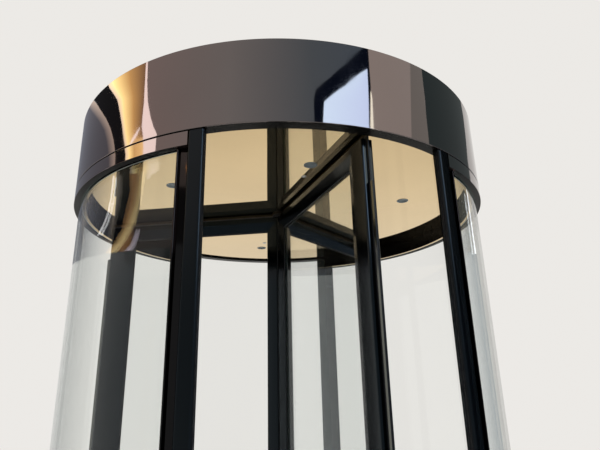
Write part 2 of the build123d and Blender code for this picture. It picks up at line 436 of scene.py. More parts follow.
@dataclass(frozen=True)
class BrushedMetal(Finish):
    """Bare metal with fine brushing lines."""

    colour: Colour
    grain: Grain = Grain.LEVEL
    roughness: float = 0.28
    line_depth: float = 0.02 * MM
    line_scale: Point = (900.0, 9.0, 40.0)
    line_dulling: float = 0.12
    wear_scale: float = 14.0
    wear_dulling: float = 0.08

    def write(self, recipe: Recipe) -> None:
        """Long thin noise across the grain, in the colour, the gloss and the relief.

        Args:
            recipe: The tree to write into.
        """
        x, y, z = recipe.parts()
        if self.grain is Grain.ROUND:
            across = recipe.math("SQRT", x * x + y * y)
            along = recipe.math("ARCTAN2", y, x)
        else:
            across, along = y + z, x
        fine, long, level = self.line_scale
        inputs = {"X": across * fine, "Y": along * long, "Z": z * level}
        where = recipe.node("ShaderNodeCombineXYZ", None, inputs).outputs[0]
        lines = recipe.noise(1.0, 2.0, where)
        worn = recipe.noise(self.wear_scale, 3.0).above(0.5, 0.75)
        recipe.principled({
            "Base Color": recipe.blend(lines, scaled(self.colour, 0.82), self.colour),
            "Metallic": 1.0,
            "Roughness": self.roughness + self.line_dulling * lines + self.wear_dulling * worn,
            "Normal": recipe.bump(lines, self.line_depth),
        })


@dataclass(frozen=True)
class Rubber(Finish):
    """Soft black seal, satin, with dust in its grain."""

    colour: Colour = (0.004, 0.0045, 0.006)
    roughness: float = 0.38
    shine: float = 0.22
    dust_scale: float = 35.0
    dust_dulling: float = 0.2
    grain_scale: float = 900.0
    grain_depth: float = 0.03 * MM

    def write(self, recipe: Recipe) -> None:
        """Black with grey dust where a coarse noise is high, and a fine grain.

        Args:
            recipe: The tree to write into.
        """
        dust = recipe.noise(self.dust_scale, 4.0).above(0.5, 0.85)
        grain = recipe.noise(self.grain_scale, 2.0)
        recipe.principled({
            "Base Color": recipe.blend(dust, self.colour, scaled(self.colour, 1.8, 0.004)),
            "Roughness": self.roughness + self.dust_dulling * dust,
            "Specular IOR Level": self.shine,
            "Normal": recipe.bump(grain, self.grain_depth),
        })


@dataclass(frozen=True)
class Bristle(Finish):
    """Black pile of a brush strip, with fine fibres that run up and down."""

    colour: Colour = (0.02, 0.02, 0.021)
    fibre_scale: Point = (1500.0, 1500.0, 60.0)
    fibre_depth: float = 0.3 * MM
    roughness: float = 0.6

    def write(self, recipe: Recipe) -> None:
        """Fibres as noise that is fine across the strip and long up and down.

        Args:
            recipe: The tree to write into.
        """
        fibres = recipe.noise(1.0, 2.0, recipe.stretched(self.fibre_scale))
        recipe.principled({
            "Base Color": recipe.blend(fibres.above(0.35, 0.7), self.colour, scaled(self.colour, 3.0)),
            "Roughness": self.roughness + 0.3 * fibres,
            "Normal": recipe.bump(fibres, self.fibre_depth),
        })


@dataclass(frozen=True)
class SheetGlass(Finish):
    """Clear pane seen as a sheet: each face mirrors by its slant, and a long way through is green."""

    tint: Colour = (0.978, 0.983, 0.979)
    deep_tint: Colour = (0.915, 0.932, 0.922)
    dust_colour: Colour = (0.8, 0.8, 0.78)
    face_mirror: float = 0.022
    haze: float = 0.005
    smear_scale: float = 3.0
    smear_stretch: Point = (1.0, 1.0, 0.5)

    def write(self, recipe: Recipe) -> None:
        """Mirror share = face + (1 - face) * slant to the fifth power, over a tinted clear sheet.

        The sheet's tint goes to the deep one by the slant to the third power.

        Args:
            recipe: The tree to write into.
        """
        slant = recipe.value("ShaderNodeLayerWeight", None, {"Blend": 0.5}, "Facing")
        mirror = self.face_mirror + (1.0 - self.face_mirror) * slant**5.0
        clear = recipe.shader("ShaderNodeBsdfTransparent", {"Color": self.tint})
        deep = recipe.shader("ShaderNodeBsdfTransparent", {"Color": self.deep_tint})
        gloss = recipe.shader("ShaderNodeBsdfAnisotropic", {"Roughness": 0.0})
        dust = recipe.shader("ShaderNodeBsdfDiffuse", {"Color": self.dust_colour})
        body = recipe.mixed(slant**3.0, clear, deep)
        smears = recipe.noise(self.smear_scale, 5.0, recipe.stretched(self.smear_stretch)).above(0.35, 0.8)
        dusted = recipe.mixed(smears * self.haze, body, dust)
        recipe.finish(recipe.mixed(mirror, dusted, gloss))


@dataclass(frozen=True)
class GlassEdge(Finish):
    """Ground and polished edge of a pane: deep green with fine lines along it."""

    colour: Colour = (0.06, 0.10, 0.085)
    band_scale: Point = (420.0, 420.0, 9.0)
    roughness: float = 0.08

    def write(self, recipe: Recipe) -> None:
        """Green with lighter bands where a long thin noise is high.

        Args:
            recipe: The tree to write into.
        """
        bands = recipe.noise(1.0, 3.0, recipe.stretched(self.band_scale))
        recipe.principled({
            "Base Color": recipe.blend(bands.above(0.3, 0.75), self.colour, scaled(self.colour, 1.5)),
            "Roughness": self.roughness + 0.15 * bands,
        })


@dataclass(frozen=True)
class SoftLens(Finish):
    """Frosted cover or silicone: pale, satin, with a fine mottle."""

    colour: Colour
    roughness: float = 0.35
    mottle_scale: float = 300.0
    mottle_depth: float = 0.03 * MM

    def write(self, recipe: Recipe) -> None:
        """Pale plastic that darkens a little in its mottle.

        Args:
            recipe: The tree to write into.
        """
        mottle = recipe.noise(self.mottle_scale, 2.0)
        recipe.principled({
            "Base Color": recipe.blend(mottle, scaled(self.colour, 0.8), self.colour),
            "Roughness": self.roughness + 0.15 * mottle,
            "Normal": recipe.bump(mottle, self.mottle_depth),
        })


FASCIA_MIRROR = MirrorSteel("fascia_mirror", (0.19, 0.16, 0.155), wave_depth=0.9 * MM)
# Darker, rougher copy of the fascia steel for the header's sill outside the glass: paints the shade on that
# down-facing face.
SHADED_SILL_SATIN = MirrorSteel("sill_satin_painted_shade", (0.085, 0.067, 0.064), (0.5, 0.45, 0.45), roughness=0.42)
RETURN_BLACK = GlossPaint("return_black", (0.0045, 0.004, 0.0035), roughness=0.25, shine=0.07)
END_MIRROR = MirrorSteel("end_profile_mirror", (0.045, 0.036, 0.034), (0.30, 0.28, 0.27), roughness=0.05)
POST_BLACK = MirrorSteel("post_black", (0.023, 0.026, 0.029), (0.07, 0.08, 0.086), roughness=0.30)
LEAF_BLACK = MirrorSteel("leaf_black", (0.0025, 0.003, 0.0036), (0.035, 0.04, 0.045), roughness=0.08)
# Brighter copy of the leaf black for the rounded arrises: paints highlight lines along the members' edges.
PAINTED_ARRIS_HIGHLIGHT = MirrorSteel("leaf_arris_painted_highlight", (0.045, 0.049, 0.053), (0.40, 0.42, 0.44), roughness=0.16)
CORE_BLACK = MirrorSteel("core_black", (0.010, 0.011, 0.012), (0.16, 0.17, 0.18), roughness=0.15)
# Lighter grey mirror for the flanks of the leaves' edge strips: paints the sheen that runs along the free
# edge.
STRIP_PAINTED_SHEEN = MirrorSteel("strip_painted_sheen", (0.15, 0.15, 0.135), (0.35, 0.35, 0.34), roughness=0.12)
BEAD_BLACK = GlossPaint("bead_black", (0.0035, 0.0035, 0.0035), roughness=0.35, shine=0.08)
SOFFIT_MIRROR = MirrorSteel("soffit_mirror", (0.86, 0.65, 0.37), roughness=0.012, smear=0.02)
PANE = SheetGlass("clear_pane")
PANE_EDGE = GlassEdge("pane_edge")
SEAL_RUBBER = Rubber("seal_rubber_skin")
PILE = Bristle("brush_pile")
SILICONE = SoftLens("joint_silicone", (0.62, 0.66, 0.64), roughness=0.3)
RING_STEEL = BrushedMetal("ring_steel", (0.56, 0.55, 0.53), Grain.ROUND)
PLATE_STEEL = BrushedMetal("plate_steel", (0.52, 0.52, 0.51), Grain.LEVEL)
TRIM_METAL = BrushedMetal("trim_metal", (0.62, 0.62, 0.62), Grain.LEVEL, roughness=0.22)
ROOF_COAT = SoftLens("roof_coat", (0.55, 0.55, 0.54), roughness=0.5, mottle_scale=90.0)
LAMP_LENS = SoftLens("lamp_lens", (0.22, 0.265, 0.285), roughness=0.2)
LAMP_RIM = SoftLens("lamp_rim", (0.205, 0.245, 0.265), roughness=0.3)
SENSOR_LENS = SoftLens("sensor_lens", (0.8, 0.8, 0.76), roughness=0.15)


# Shapes


def rounded(corners: Sequence[Sequence[float]], radii: float | Sequence[float], steps: int = 3) -> Array:
    """Closed outline whose corners are circular arcs, each between two hold points.

    An arc runs from one tangent point A to the other, B, as the weighted mean of A, the
    corner C and B, with weights (1 - s)^2, 2 s (1 - s) w and s^2, where w is the sine of half
    the corner's inner angle. The tangent points lie at radius / tan(half that angle).

    Args:
        corners: The corners in order.
        radii: One radius for all corners, or one for each.
        steps: Straight runs in an arc.

    Returns:
        Points of shape (corners * (steps + 3), 2).
    """
    c = np.asarray(corners, float)
    r = np.broadcast_to(np.asarray(radii, float), len(c))
    back, ahead = np.roll(c, 1, axis=0) - c, np.roll(c, -1, axis=0) - c
    back_length, ahead_length = np.linalg.norm(back, axis=1), np.linalg.norm(ahead, axis=1)
    back, ahead = back / back_length[:, None], ahead / ahead_length[:, None]
    half = np.arccos(np.clip((back * ahead).sum(1), -1.0, 1.0)) / 2
    reach = r / np.tan(half)
    spare_back = back_length - reach - np.roll(reach, 1)
    spare_ahead = ahead_length - reach - np.roll(reach, -1)
    first, last = c + back * reach[:, None], c + ahead * reach[:, None]
    s = np.linspace(0.0, 1.0, steps + 1)[None, :, None]
    weight = np.sin(half)[:, None, None]
    parts = (1 - s) ** 2, 2 * s * (1 - s) * weight, s**2
    arc = parts[0] * first[:, None] + parts[1] * c[:, None] + parts[2] * last[:, None]
    arc = arc / (parts[0] + parts[1] + parts[2])
    before = first + back * np.minimum(HOLD, spare_back / 3)[:, None]
    after = last + ahead * np.minimum(HOLD, spare_ahead / 3)[:, None]
    return np.concatenate([before[:, None], arc, after[:, None]], axis=1).reshape(-1, 2)


def box_corners(left: float, right: float, low: float, high: float) -> list[list[float]]:
    """Corners of an upright rectangle, anticlockwise from the lower left one."""
    return [[left, low], [right, low], [right, high], [left, high]]


def refined(outline: Array, pitch: float) -> Array:
    """The same closed outline with extra points at equal steps along its straight stretches.

    Args:
        outline: Points of shape (n, 2).
        pitch: The step. No point is added within a quarter of it from one that is there.

    Returns:
        Points of shape (more, 2).
    """
    looped = np.vstack([outline, outline[:1]])
    at = np.concatenate([[0.0], np.cumsum(np.linalg.norm(np.diff(looped, axis=0), axis=1))])
    extra = np.arange(0.0, at[-1], pitch)
    extra = extra[np.abs(extra[:, None] - at[None]).min(1) > pitch / 4]
    knots = np.union1d(at[:-1], extra)
    return np.stack([np.interp(knots, at, looped[:, 0]), np.interp(knots, at, looped[:, 1])], axis=1)


def turned(outline: Array, angles: Array, centre: Point | Array = (0.0, 0.0, 0.0)) -> Array:
    """Outline turned about an upright axis: a point goes to (r cos a, r sin a, z) plus the centre.

    Args:
        outline: Points (radius, height), of shape (n, 2).
        angles: The angles a.
        centre: A point on the axis.

    Returns:
        Points of shape (angles, n, 3).
    """
    r, z = outline[None, :, 0], outline[None, :, 1]
    a = np.asarray(angles)[:, None]
    return np.stack([r * np.cos(a), r * np.sin(a), z + 0 * a], axis=-1) + np.asarray(centre)


def around(steps: int) -> Array:
    """Equal angles round a full circle, without the last one."""
    return np.arange(steps) * (tau / steps)


def on_circle(radius: float, angles: Array, height: float = 0.0) -> Array:
    """Points of a level circle round the axis, at the angles given."""
    return turned(np.array([[radius, height]]), angles)[:, 0]


def bent_plan(outline: Array, radius: float, middle: float, heights: Sequence[float]) -> Array:
    """Upright column from a plan drawn flat.

    The plan's x is a length along a circle of the given radius and its y a distance from
    the axis. A point goes to (y cos a, y sin a, z), where a = middle + x / radius.

    Args:
        outline: The plan, of shape (n, 2).
        radius: The circle on which x is measured.
        middle: The angle of x = 0.
        heights: The heights of the rows.

    Returns:
        Points of shape (heights, n, 3).
    """
    a = middle + outline[None, :, 0] / radius
    y = outline[None, :, 1]
    z = np.asarray(heights, float)[:, None]
    return np.stack([y * np.cos(a) + 0 * z, y * np.sin(a) + 0 * z, z + 0 * a], axis=-1)


@dataclass(frozen=True)
class Upright:
    """The upright plane through the axis at an angle."""

    angle: float

    def place(self, along: Array, across: Array, height: Array) -> Array:
        """Points from distances: along turns to (cos, sin) of the angle, across to (-sin, cos).

        Args:
            along: Distances from the axis in the plane.
            across: Distances from the plane.
            height: Heights.

        Returns:
            Points with the common shape of the three and a last axis of 3.
        """
        c, s = cos(self.angle), sin(self.angle)
        along, across, height = np.broadcast_arrays(along, across, height)
        return np.stack([along * c - across * s, along * s + across * c, height], axis=-1)

    def read(self, points: Array) -> tuple[Array, Array]:
        """Distances along and across the plane of points in the frame."""
        c, s = cos(self.angle), sin(self.angle)
        return points[:, 0] * c + points[:, 1] * s, points[:, 1] * c - points[:, 0] * s


def node_points(node: str) -> Array:
    """Vertices of a CAD node.

    Args:
        node: The node's name.

    Returns:
        Points of shape (n, 3).
    """
    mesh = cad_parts[node].data
    flat = np.zeros(len(mesh.vertices) * 3)
    mesh.vertices.foreach_get("co", flat)
    return flat.reshape(-1, 3)


def turn_from(middle: float, angles: Array) -> Array:
    """The turn from one angle to others, between half a turn back and half a turn on."""
    return (angles - middle + pi) % tau - pi


@dataclass(frozen=True)
class Reach:
    """How far a CAD node reaches about the turning axis."""

    inner: float
    outer: float
    bottom: float
    top: float
    start: float
    end: float

    @classmethod
    def of(cls, node: str, near: float | None = None) -> "Reach":
        """Measures a node, or the one of its solids that stands at an angle.

        Args:
            node: The node's name.
            near: The angle about which the solid stands, or None for the whole node.

        Returns:
            Its radii, heights and the angles between which it lies.
        """
        p = node_points(node)
        if near is not None:
            p = p[np.cos(np.arctan2(p[:, 1], p[:, 0]) - near) > cos(radians(NEAR_DEGREES))]
        radius = np.hypot(p[:, 0], p[:, 1])
        height = p[:, 2]
        middle = atan2(p[:, 1].mean(), p[:, 0].mean())
        angle = middle + turn_from(middle, np.arctan2(p[:, 1], p[:, 0]))
        return cls(radius.min(), radius.max(), height.min(), height.max(), angle.min(), angle.max())

    @property
    def middle(self) -> float:
        """The angle halfway between the two ends."""
        return (self.start + self.end) / 2

    def sweep(self, step_degrees: float = 1.0) -> Array:
        """Angles from end to end, in steps of about the size given."""
        steps = max(1, round(degrees(self.end - self.start) / step_degrees))
        return np.linspace(self.start, self.end, steps + 1)


@dataclass(frozen=True)
class Span:
    """How far a CAD node reaches in a leaf's own plane."""

    near: float
    far: float
    low: float
    high: float

    @classmethod
    def of(cls, node: str, plane: Upright) -> "Span":
        """Measures a node along a leaf and up.

        Args:
            node: The node's name.
            plane: The leaf's plane.

        Returns:
            Its ends along the leaf and its heights.
        """
        p = node_points(node)
        along, _ = plane.read(p)
        return cls(along.min(), along.max(), p[:, 2].min(), p[:, 2].max())


@dataclass
class Skin:
    """Faces of one piece, gathered from grids of points."""

    name: str
    points: list[Array] = field(default_factory=list)
    corners: list[Array] = field(default_factory=list)
    sizes: list[Array] = field(default_factory=list)
    marks: list[Array] = field(default_factory=list)
    count: int = 0

    def faces(self, corners: Array, mark: int | Array = 0) -> None:
        """Adds faces that all have the same number of corners.

        Args:
            corners: Vertex numbers, of shape (faces, corners).
            mark: The finish number of all faces, or of each.
        """
        self.corners.append(corners.ravel())
        self.sizes.append(np.full(len(corners), corners.shape[1]))
        self.marks.append(np.broadcast_to(mark, len(corners)))

    def grid(self, points: Array, loop: bool = False, mark: int | Array = 0) -> Array:
        """Adds a grid in which each row is a closed ring of points.

        Args:
            points: Points of shape (rows, columns, 3).
            loop: Whether the last row joins the first.
            mark: The finish number, or one for each column.

        Returns:
            The vertex numbers, of shape (rows, columns).
        """
        rows, columns = points.shape[:2]
        index = self.count + np.arange(rows * columns).reshape(rows, columns)
        self.points.append(points.reshape(-1, 3))
        self.count += rows * columns
        ahead = np.roll(index, -1, axis=0)
        low, high = (index, ahead) if loop else (index[:-1], ahead[:-1])
        quads = np.stack([low, high, np.roll(high, -1, axis=1), np.roll(low, -1, axis=1)], axis=-1)
        self.faces(quads.reshape(-1, 4), np.broadcast_to(mark, quads.shape[:2]).ravel())
        return index

    def spun(
        self, outline: Array, steps: int, places: Iterable[Point | Array], mark: int | Array = 0
    ) -> None:
        """Adds a round body at each place: an outline turned about the upright axis there.

        Args:
            outline: Points (radius, height), of shape (n, 2).
            steps: Steps in a full turn.
            places: The points through which the axes go.
            mark: The finish number, or one for each column.
        """
        for place in places:
            self.grid(turned(outline, around(steps), place), loop=True, mark=mark)

    def bar(
        self, points: Array, mark: int | Array = 0, cap_mark: int | None = None, paired: bool = False
    ) -> None:
        """Adds a grid and closes its first and last rows.

        Args:
            points: Points of shape (rows, columns, 3).
            mark: The finish number of the sides, or one for each column.
            cap_mark: The finish number of the ends, or that of the sides where none is given.
            paired: Close an end with quads between mirrored columns, which lets it be a mitre.
        """
        index = self.grid(points, mark=mark)
        shade = int(np.ravel(mark)[0]) if cap_mark is None else cap_mark
        for end in (index[0], index[-1]):
            if not paired:
                self.faces(end[None, :], shade)
                continue
            half = len(end) // 2
            left, right = end[:half], end[::-1][:half]
            self.faces(np.stack([left[:-1], left[1:], right[1:], right[:-1]], axis=-1), shade)

    def mesh(self) -> bpy.types.Mesh:
        """The gathered faces as a mesh: poles closed, faces outwards, smooth but for sharp edges.

        Returns:
            The mesh, with each face's finish number.
        """
        made = bpy.data.meshes.new(self.name)
        corners, sizes = np.concatenate(self.corners), np.concatenate(self.sizes)
        starts = np.cumsum(sizes) - sizes
        made.vertices.add(self.count)
        made.vertices.foreach_set("co", np.concatenate(self.points).ravel().astype(np.float32))
        made.loops.add(len(corners))
        made.loops.foreach_set("vertex_index", corners.astype(np.int32))
        made.polygons.add(len(sizes))
        made.polygons.foreach_set("loop_start", starts.astype(np.int32))
        made.polygons.foreach_set("material_index", np.concatenate(self.marks).astype(np.int32))
        made.update(calc_edges=True)
        work = bmesh.new()
        work.from_mesh(made)
        bmesh.ops.remove_doubles(work, verts=work.verts, dist=WELD)
        bmesh.ops.recalc_face_normals(work, faces=work.faces)
        work.to_mesh(made)
        work.free()
        made.polygons.foreach_set("use_smooth", np.ones(len(made.polygons), bool))
        made.set_sharp_from_angle(angle=radians(SHARP_DEGREES))
        return made

    def piece(self, body: Body, finishes: Sequence[Finish], slot: Slot, replaces: Iterable[str] = ()) -> None:
        """Makes the object and ties it to the frame.

        Args:
            body: The body it moves with.
            finishes: The finishes, in the order of the faces' marks.
            slot: The record's material slot; not used.
            replaces: The CAD nodes that it stands for.
        """
        made = bpy.data.objects.new(self.name, self.mesh())
        bpy.context.scene.collection.objects.link(made)
        for finish in finishes:
            made.data.materials.append(finish.material())
        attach(made, body.value)
        if replaces:
            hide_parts(*replaces)
        log.info("%s: %d faces", self.name, len(made.data.polygons))


def dress(node: str, finish: Finish) -> None:
    """Gives a carried-over CAD node its finish.

    Args:
        node: The node's name.
        finish: The finish.
    """
    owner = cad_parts[node]
    owner.data.materials.clear()
    owner.data.materials.append(finish.material())
    log.info("%s: kept, with %s", node, finish.name)


# Drum


@dataclass
class FloorWork:
    """Threshold ring with grip grooves, and the plate under the pivot."""

    grooves: int = 6
    groove_width: float = 3.0 * MM
    groove_depth: float = 1.0 * MM
    edge_slope: float = 2.0 * MM
    corner_round: float = 0.3 * MM
    steps: int = 360
    screw_radius: float = 4.5 * MM
    screw_inset: float = 16.0 * MM
    screw_steps: int = 24

    def build(self) -> None:
        """Builds the ring and the plate's screws, and dresses the plate."""
        self.make_ring()
        dress("floor_bearing", PLATE_STEEL)
        self.make_screws()

    def make_screws(self) -> None:
        """Pan heads in the corners of the plate, whose top is level with the ring's."""
        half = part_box("floor_bearing")[1].x - self.screw_inset
        top = Reach.of("floor_ring").top
        places = [(x, y, top) for x, y in box_corners(half, -half, half, -half)]
        skin = Skin("pivot_plate_screws")
        skin.spun(screw_outline(self.screw_radius), self.screw_steps, places)
        skin.piece(Body.DRUM, [TRIM_METAL], Slot.BEARING)

    def make_ring(self) -> None:
        """Low ring with sloped edges: its top is flat but for square grooves at equal steps."""
        size = Reach.of("floor_ring")
        inner, outer = size.inner + self.edge_slope, size.outer - self.edge_slope
        pitch = (outer - inner) / (self.grooves + 1)
        at = outer - pitch * np.arange(1, self.grooves + 1)
        half = self.groove_width / 2
        floor = size.top - self.groove_depth
        dips = np.stack([at + half, at + half, at - half, at - half], axis=1)
        levels = np.tile([size.top, floor, floor, size.top], (self.grooves, 1))
        middle = np.stack([dips.ravel(), levels.ravel()], axis=1)
        ends = [[size.outer, size.bottom], [outer, size.top]]
        starts = [[inner, size.top], [size.inner, size.bottom]]
        outline = rounded(np.vstack([ends, middle, starts]), self.corner_round, 2)
        skin = Skin("threshold_ring")
        skin.grid(turned(outline, around(self.steps)), loop=True)
        skin.piece(Body.DRUM, [RING_STEEL], Slot.FLOOR, ["floor_ring"])


def screw_outline(radius: float) -> Array:
    """Half section of a low pan head with a hollow in its middle.

    Args:
        radius: The head's radius.

    Returns:
        Points (radius, height), from the foot of the axis round to the floor of the hollow.
    """
    high = radius * 0.45
    dome = [[1.0, 0.0], [1.0, 0.35], [0.8, 0.85], [0.5, 1.0]]
    hollow = [[0.42, 1.0], [0.36, 0.4], [0.0, 0.4]]
    return np.array([[0.0, 0.0]] + dome + hollow) * [radius, high]


@dataclass
class SideWall:
    """One bent wall of the drum: header, base rail, two panes, their joint and gaskets."""

    side: str
    reveal_depth: float = 6.0 * MM
    reveal_height: float = 6.5 * MM
    glass_clearance: float = 0.5 * MM
    groove_depth: float = 15.0 * MM
    edge_round: float = 0.8 * MM
    bead_width: float = 3.5 * MM
    bead_height: float = 1.5 * MM
    gasket_margin: float = 1.2 * MM
    bead_round: float = 0.3 * MM
    bead_slope: float = 1.0 * MM
    bead_steps: int = 120
    seam: float = 4.0 * MM
    seam_round: float = 0.2 * MM
    header: Reach = field(init=False)
    rail: Reach = field(init=False)
    glass: Reach = field(init=False)

    def __post_init__(self) -> None:
        """Measures the wall's CAD nodes."""
        self.header = Reach.of(f"header_{self.side}")
        self.rail = Reach.of(f"base_rail_{self.side}")
        self.glass = Reach.of(self.pane_node("front"))

    def build(self) -> None:
        """Builds the wall from the floor up."""
        self.make_rail()
        self.make_header()
        for end in ("front", "rear"):
            self.make_pane(end)
        self.make_beads()
        self.make_joint()

    def pane_node(self, end: str) -> str:
        """Name of the CAD node of a pane."""
        return f"side_glass_{self.side}_{end}"

    def groove(self, level: float, deep: float) -> list[list[float]]:
        """Corners of the glazing groove, from its outer lip to its inner lip.

        Args:
            level: The height of the lips.
            deep: The height of the groove's floor.

        Returns:
            Four corners (radius, height).
        """
        outer = self.glass.outer + self.glass_clearance
        inner = self.glass.inner - self.glass_clearance
        return [[outer, level], [outer, deep], [inner, deep], [inner, level]]

    def make_rail(self) -> None:
        """Base rail: a rectangle with the glazing groove in its top, turned through the wall."""
        size = self.rail
        corners = [[size.inner, size.bottom], [size.outer, size.bottom], [size.outer, size.top]]
        corners += self.groove(size.top, size.top - self.groove_depth) + [[size.inner, size.top]]
        skin = Skin(f"base_rail_cover_{self.side}")
        skin.bar(turned(rounded(corners, self.edge_round / 2), size.sweep()))
        skin.piece(Body.DRUM, [POST_BLACK], Slot.DRUM, [f"base_rail_{self.side}"])

    def make_header(self) -> None:
        """Header: mirror face, satin sill outside darkened as painted shade, bright sill inside, and a black
        neck on top.
        """
        size = self.header
        face_top = size.top - self.reveal_height
        neck = size.outer - self.reveal_depth
        corners = [[size.outer, size.bottom], [size.outer, face_top], [neck, face_top], [neck, size.top]]
        corners += [[size.inner, size.top], [size.inner, size.bottom]]
        corners += self.groove(size.bottom, size.bottom + self.groove_depth)[::-1]
        outline = rounded(corners, self.edge_round / 2)
        face = outline[:, 0] > size.outer - self.edge_round / 4
        sill = outline[:, 1] < size.bottom + self.edge_round / 4
        within = outline[:, 0] < self.glass.outer
        # The sill outside the glass takes the darkened steel that paints its shade.
        marks = np.where(sill, np.where(within, 3, 2), np.where(face, 0, 1))
        finishes = [FASCIA_MIRROR, RETURN_BLACK, SHADED_SILL_SATIN, SOFFIT_MIRROR]
        skin = Skin(f"header_cover_{self.side}")
        skin.bar(turned(outline, size.sweep()), marks, cap_mark=1)
        skin.piece(Body.DRUM, finishes, Slot.DRUM, [f"header_{self.side}"])

    def make_pane(self, end: str) -> None:
        """Bent pane: its section turned through its own angles, with ground edges all round.

        Args:
            end: The entrance that the pane is nearer to, front or rear.
        """
        node = self.pane_node(end)
        size = Reach.of(node)
        outline = rounded(box_corners(size.inner, size.outer, size.bottom, size.top), self.edge_round, 2)
        height = outline[:, 1]
        level = (height > size.bottom + self.edge_round) & (height < size.top - self.edge_round)
        face = level | np.roll(level, -1)
        skin = Skin(f"bent_pane_{self.side}_{end}")
        skin.bar(turned(outline, size.sweep(0.8)), np.where(face, 0, 1), cap_mark=1)
        skin.piece(Body.DRUM, [PANE, PANE_EDGE], Slot.GLASS, [node])

    def make_beads(self) -> None:
        """Beads along the panes: the outer one above covers the header's sill, the inner one is clear."""
        panes = [Reach.of(self.pane_node(end)) for end in ("front", "rear")]
        ends = np.array([[pane.start, pane.end] for pane in panes])
        turns = turn_from(self.header.middle, ends)
        sweep = self.header.middle + np.linspace(turns.min(), turns.max(), self.bead_steps + 1)
        sill = self.header.outer - self.glass.outer - self.gasket_margin
        skin = Skin(f"wall_beads_{self.side}")
        for level, way in ((self.rail.top, 1), (self.header.bottom, -1)):
            for face, out in ((self.glass.outer, 1), (self.glass.inner, -1)):
                far = face + out * (sill if way < 0 < out else self.bead_width)
                tip = level + way * self.bead_height * (1.0 if out > 0 else 0.5)
                corners = [[face, level], [far, level], [far - out * self.bead_slope, tip], [face, tip]]
                clear = way < 0 and out < 0
                skin.bar(turned(rounded(corners, self.bead_round, 2), sweep), int(clear))
        skin.piece(Body.DRUM, [BEAD_BLACK, SILICONE], Slot.SEAL)

    def make_joint(self) -> None:
        """Clear silicone that fills the seam between the two panes."""
        half = self.seam / 2
        inner, outer = self.glass.inner + self.edge_round, self.glass.outer - self.edge_round
        plan = rounded(box_corners(-half, half, inner, outer), self.seam_round, 2)
        heights = (self.rail.top, self.header.bottom)
        skin = Skin(f"pane_joint_{self.side}")
        skin.bar(bent_plan(plan, self.glass.outer, self.rail.middle, heights))
        skin.piece(Body.DRUM, [SILICONE], Slot.GLASS)


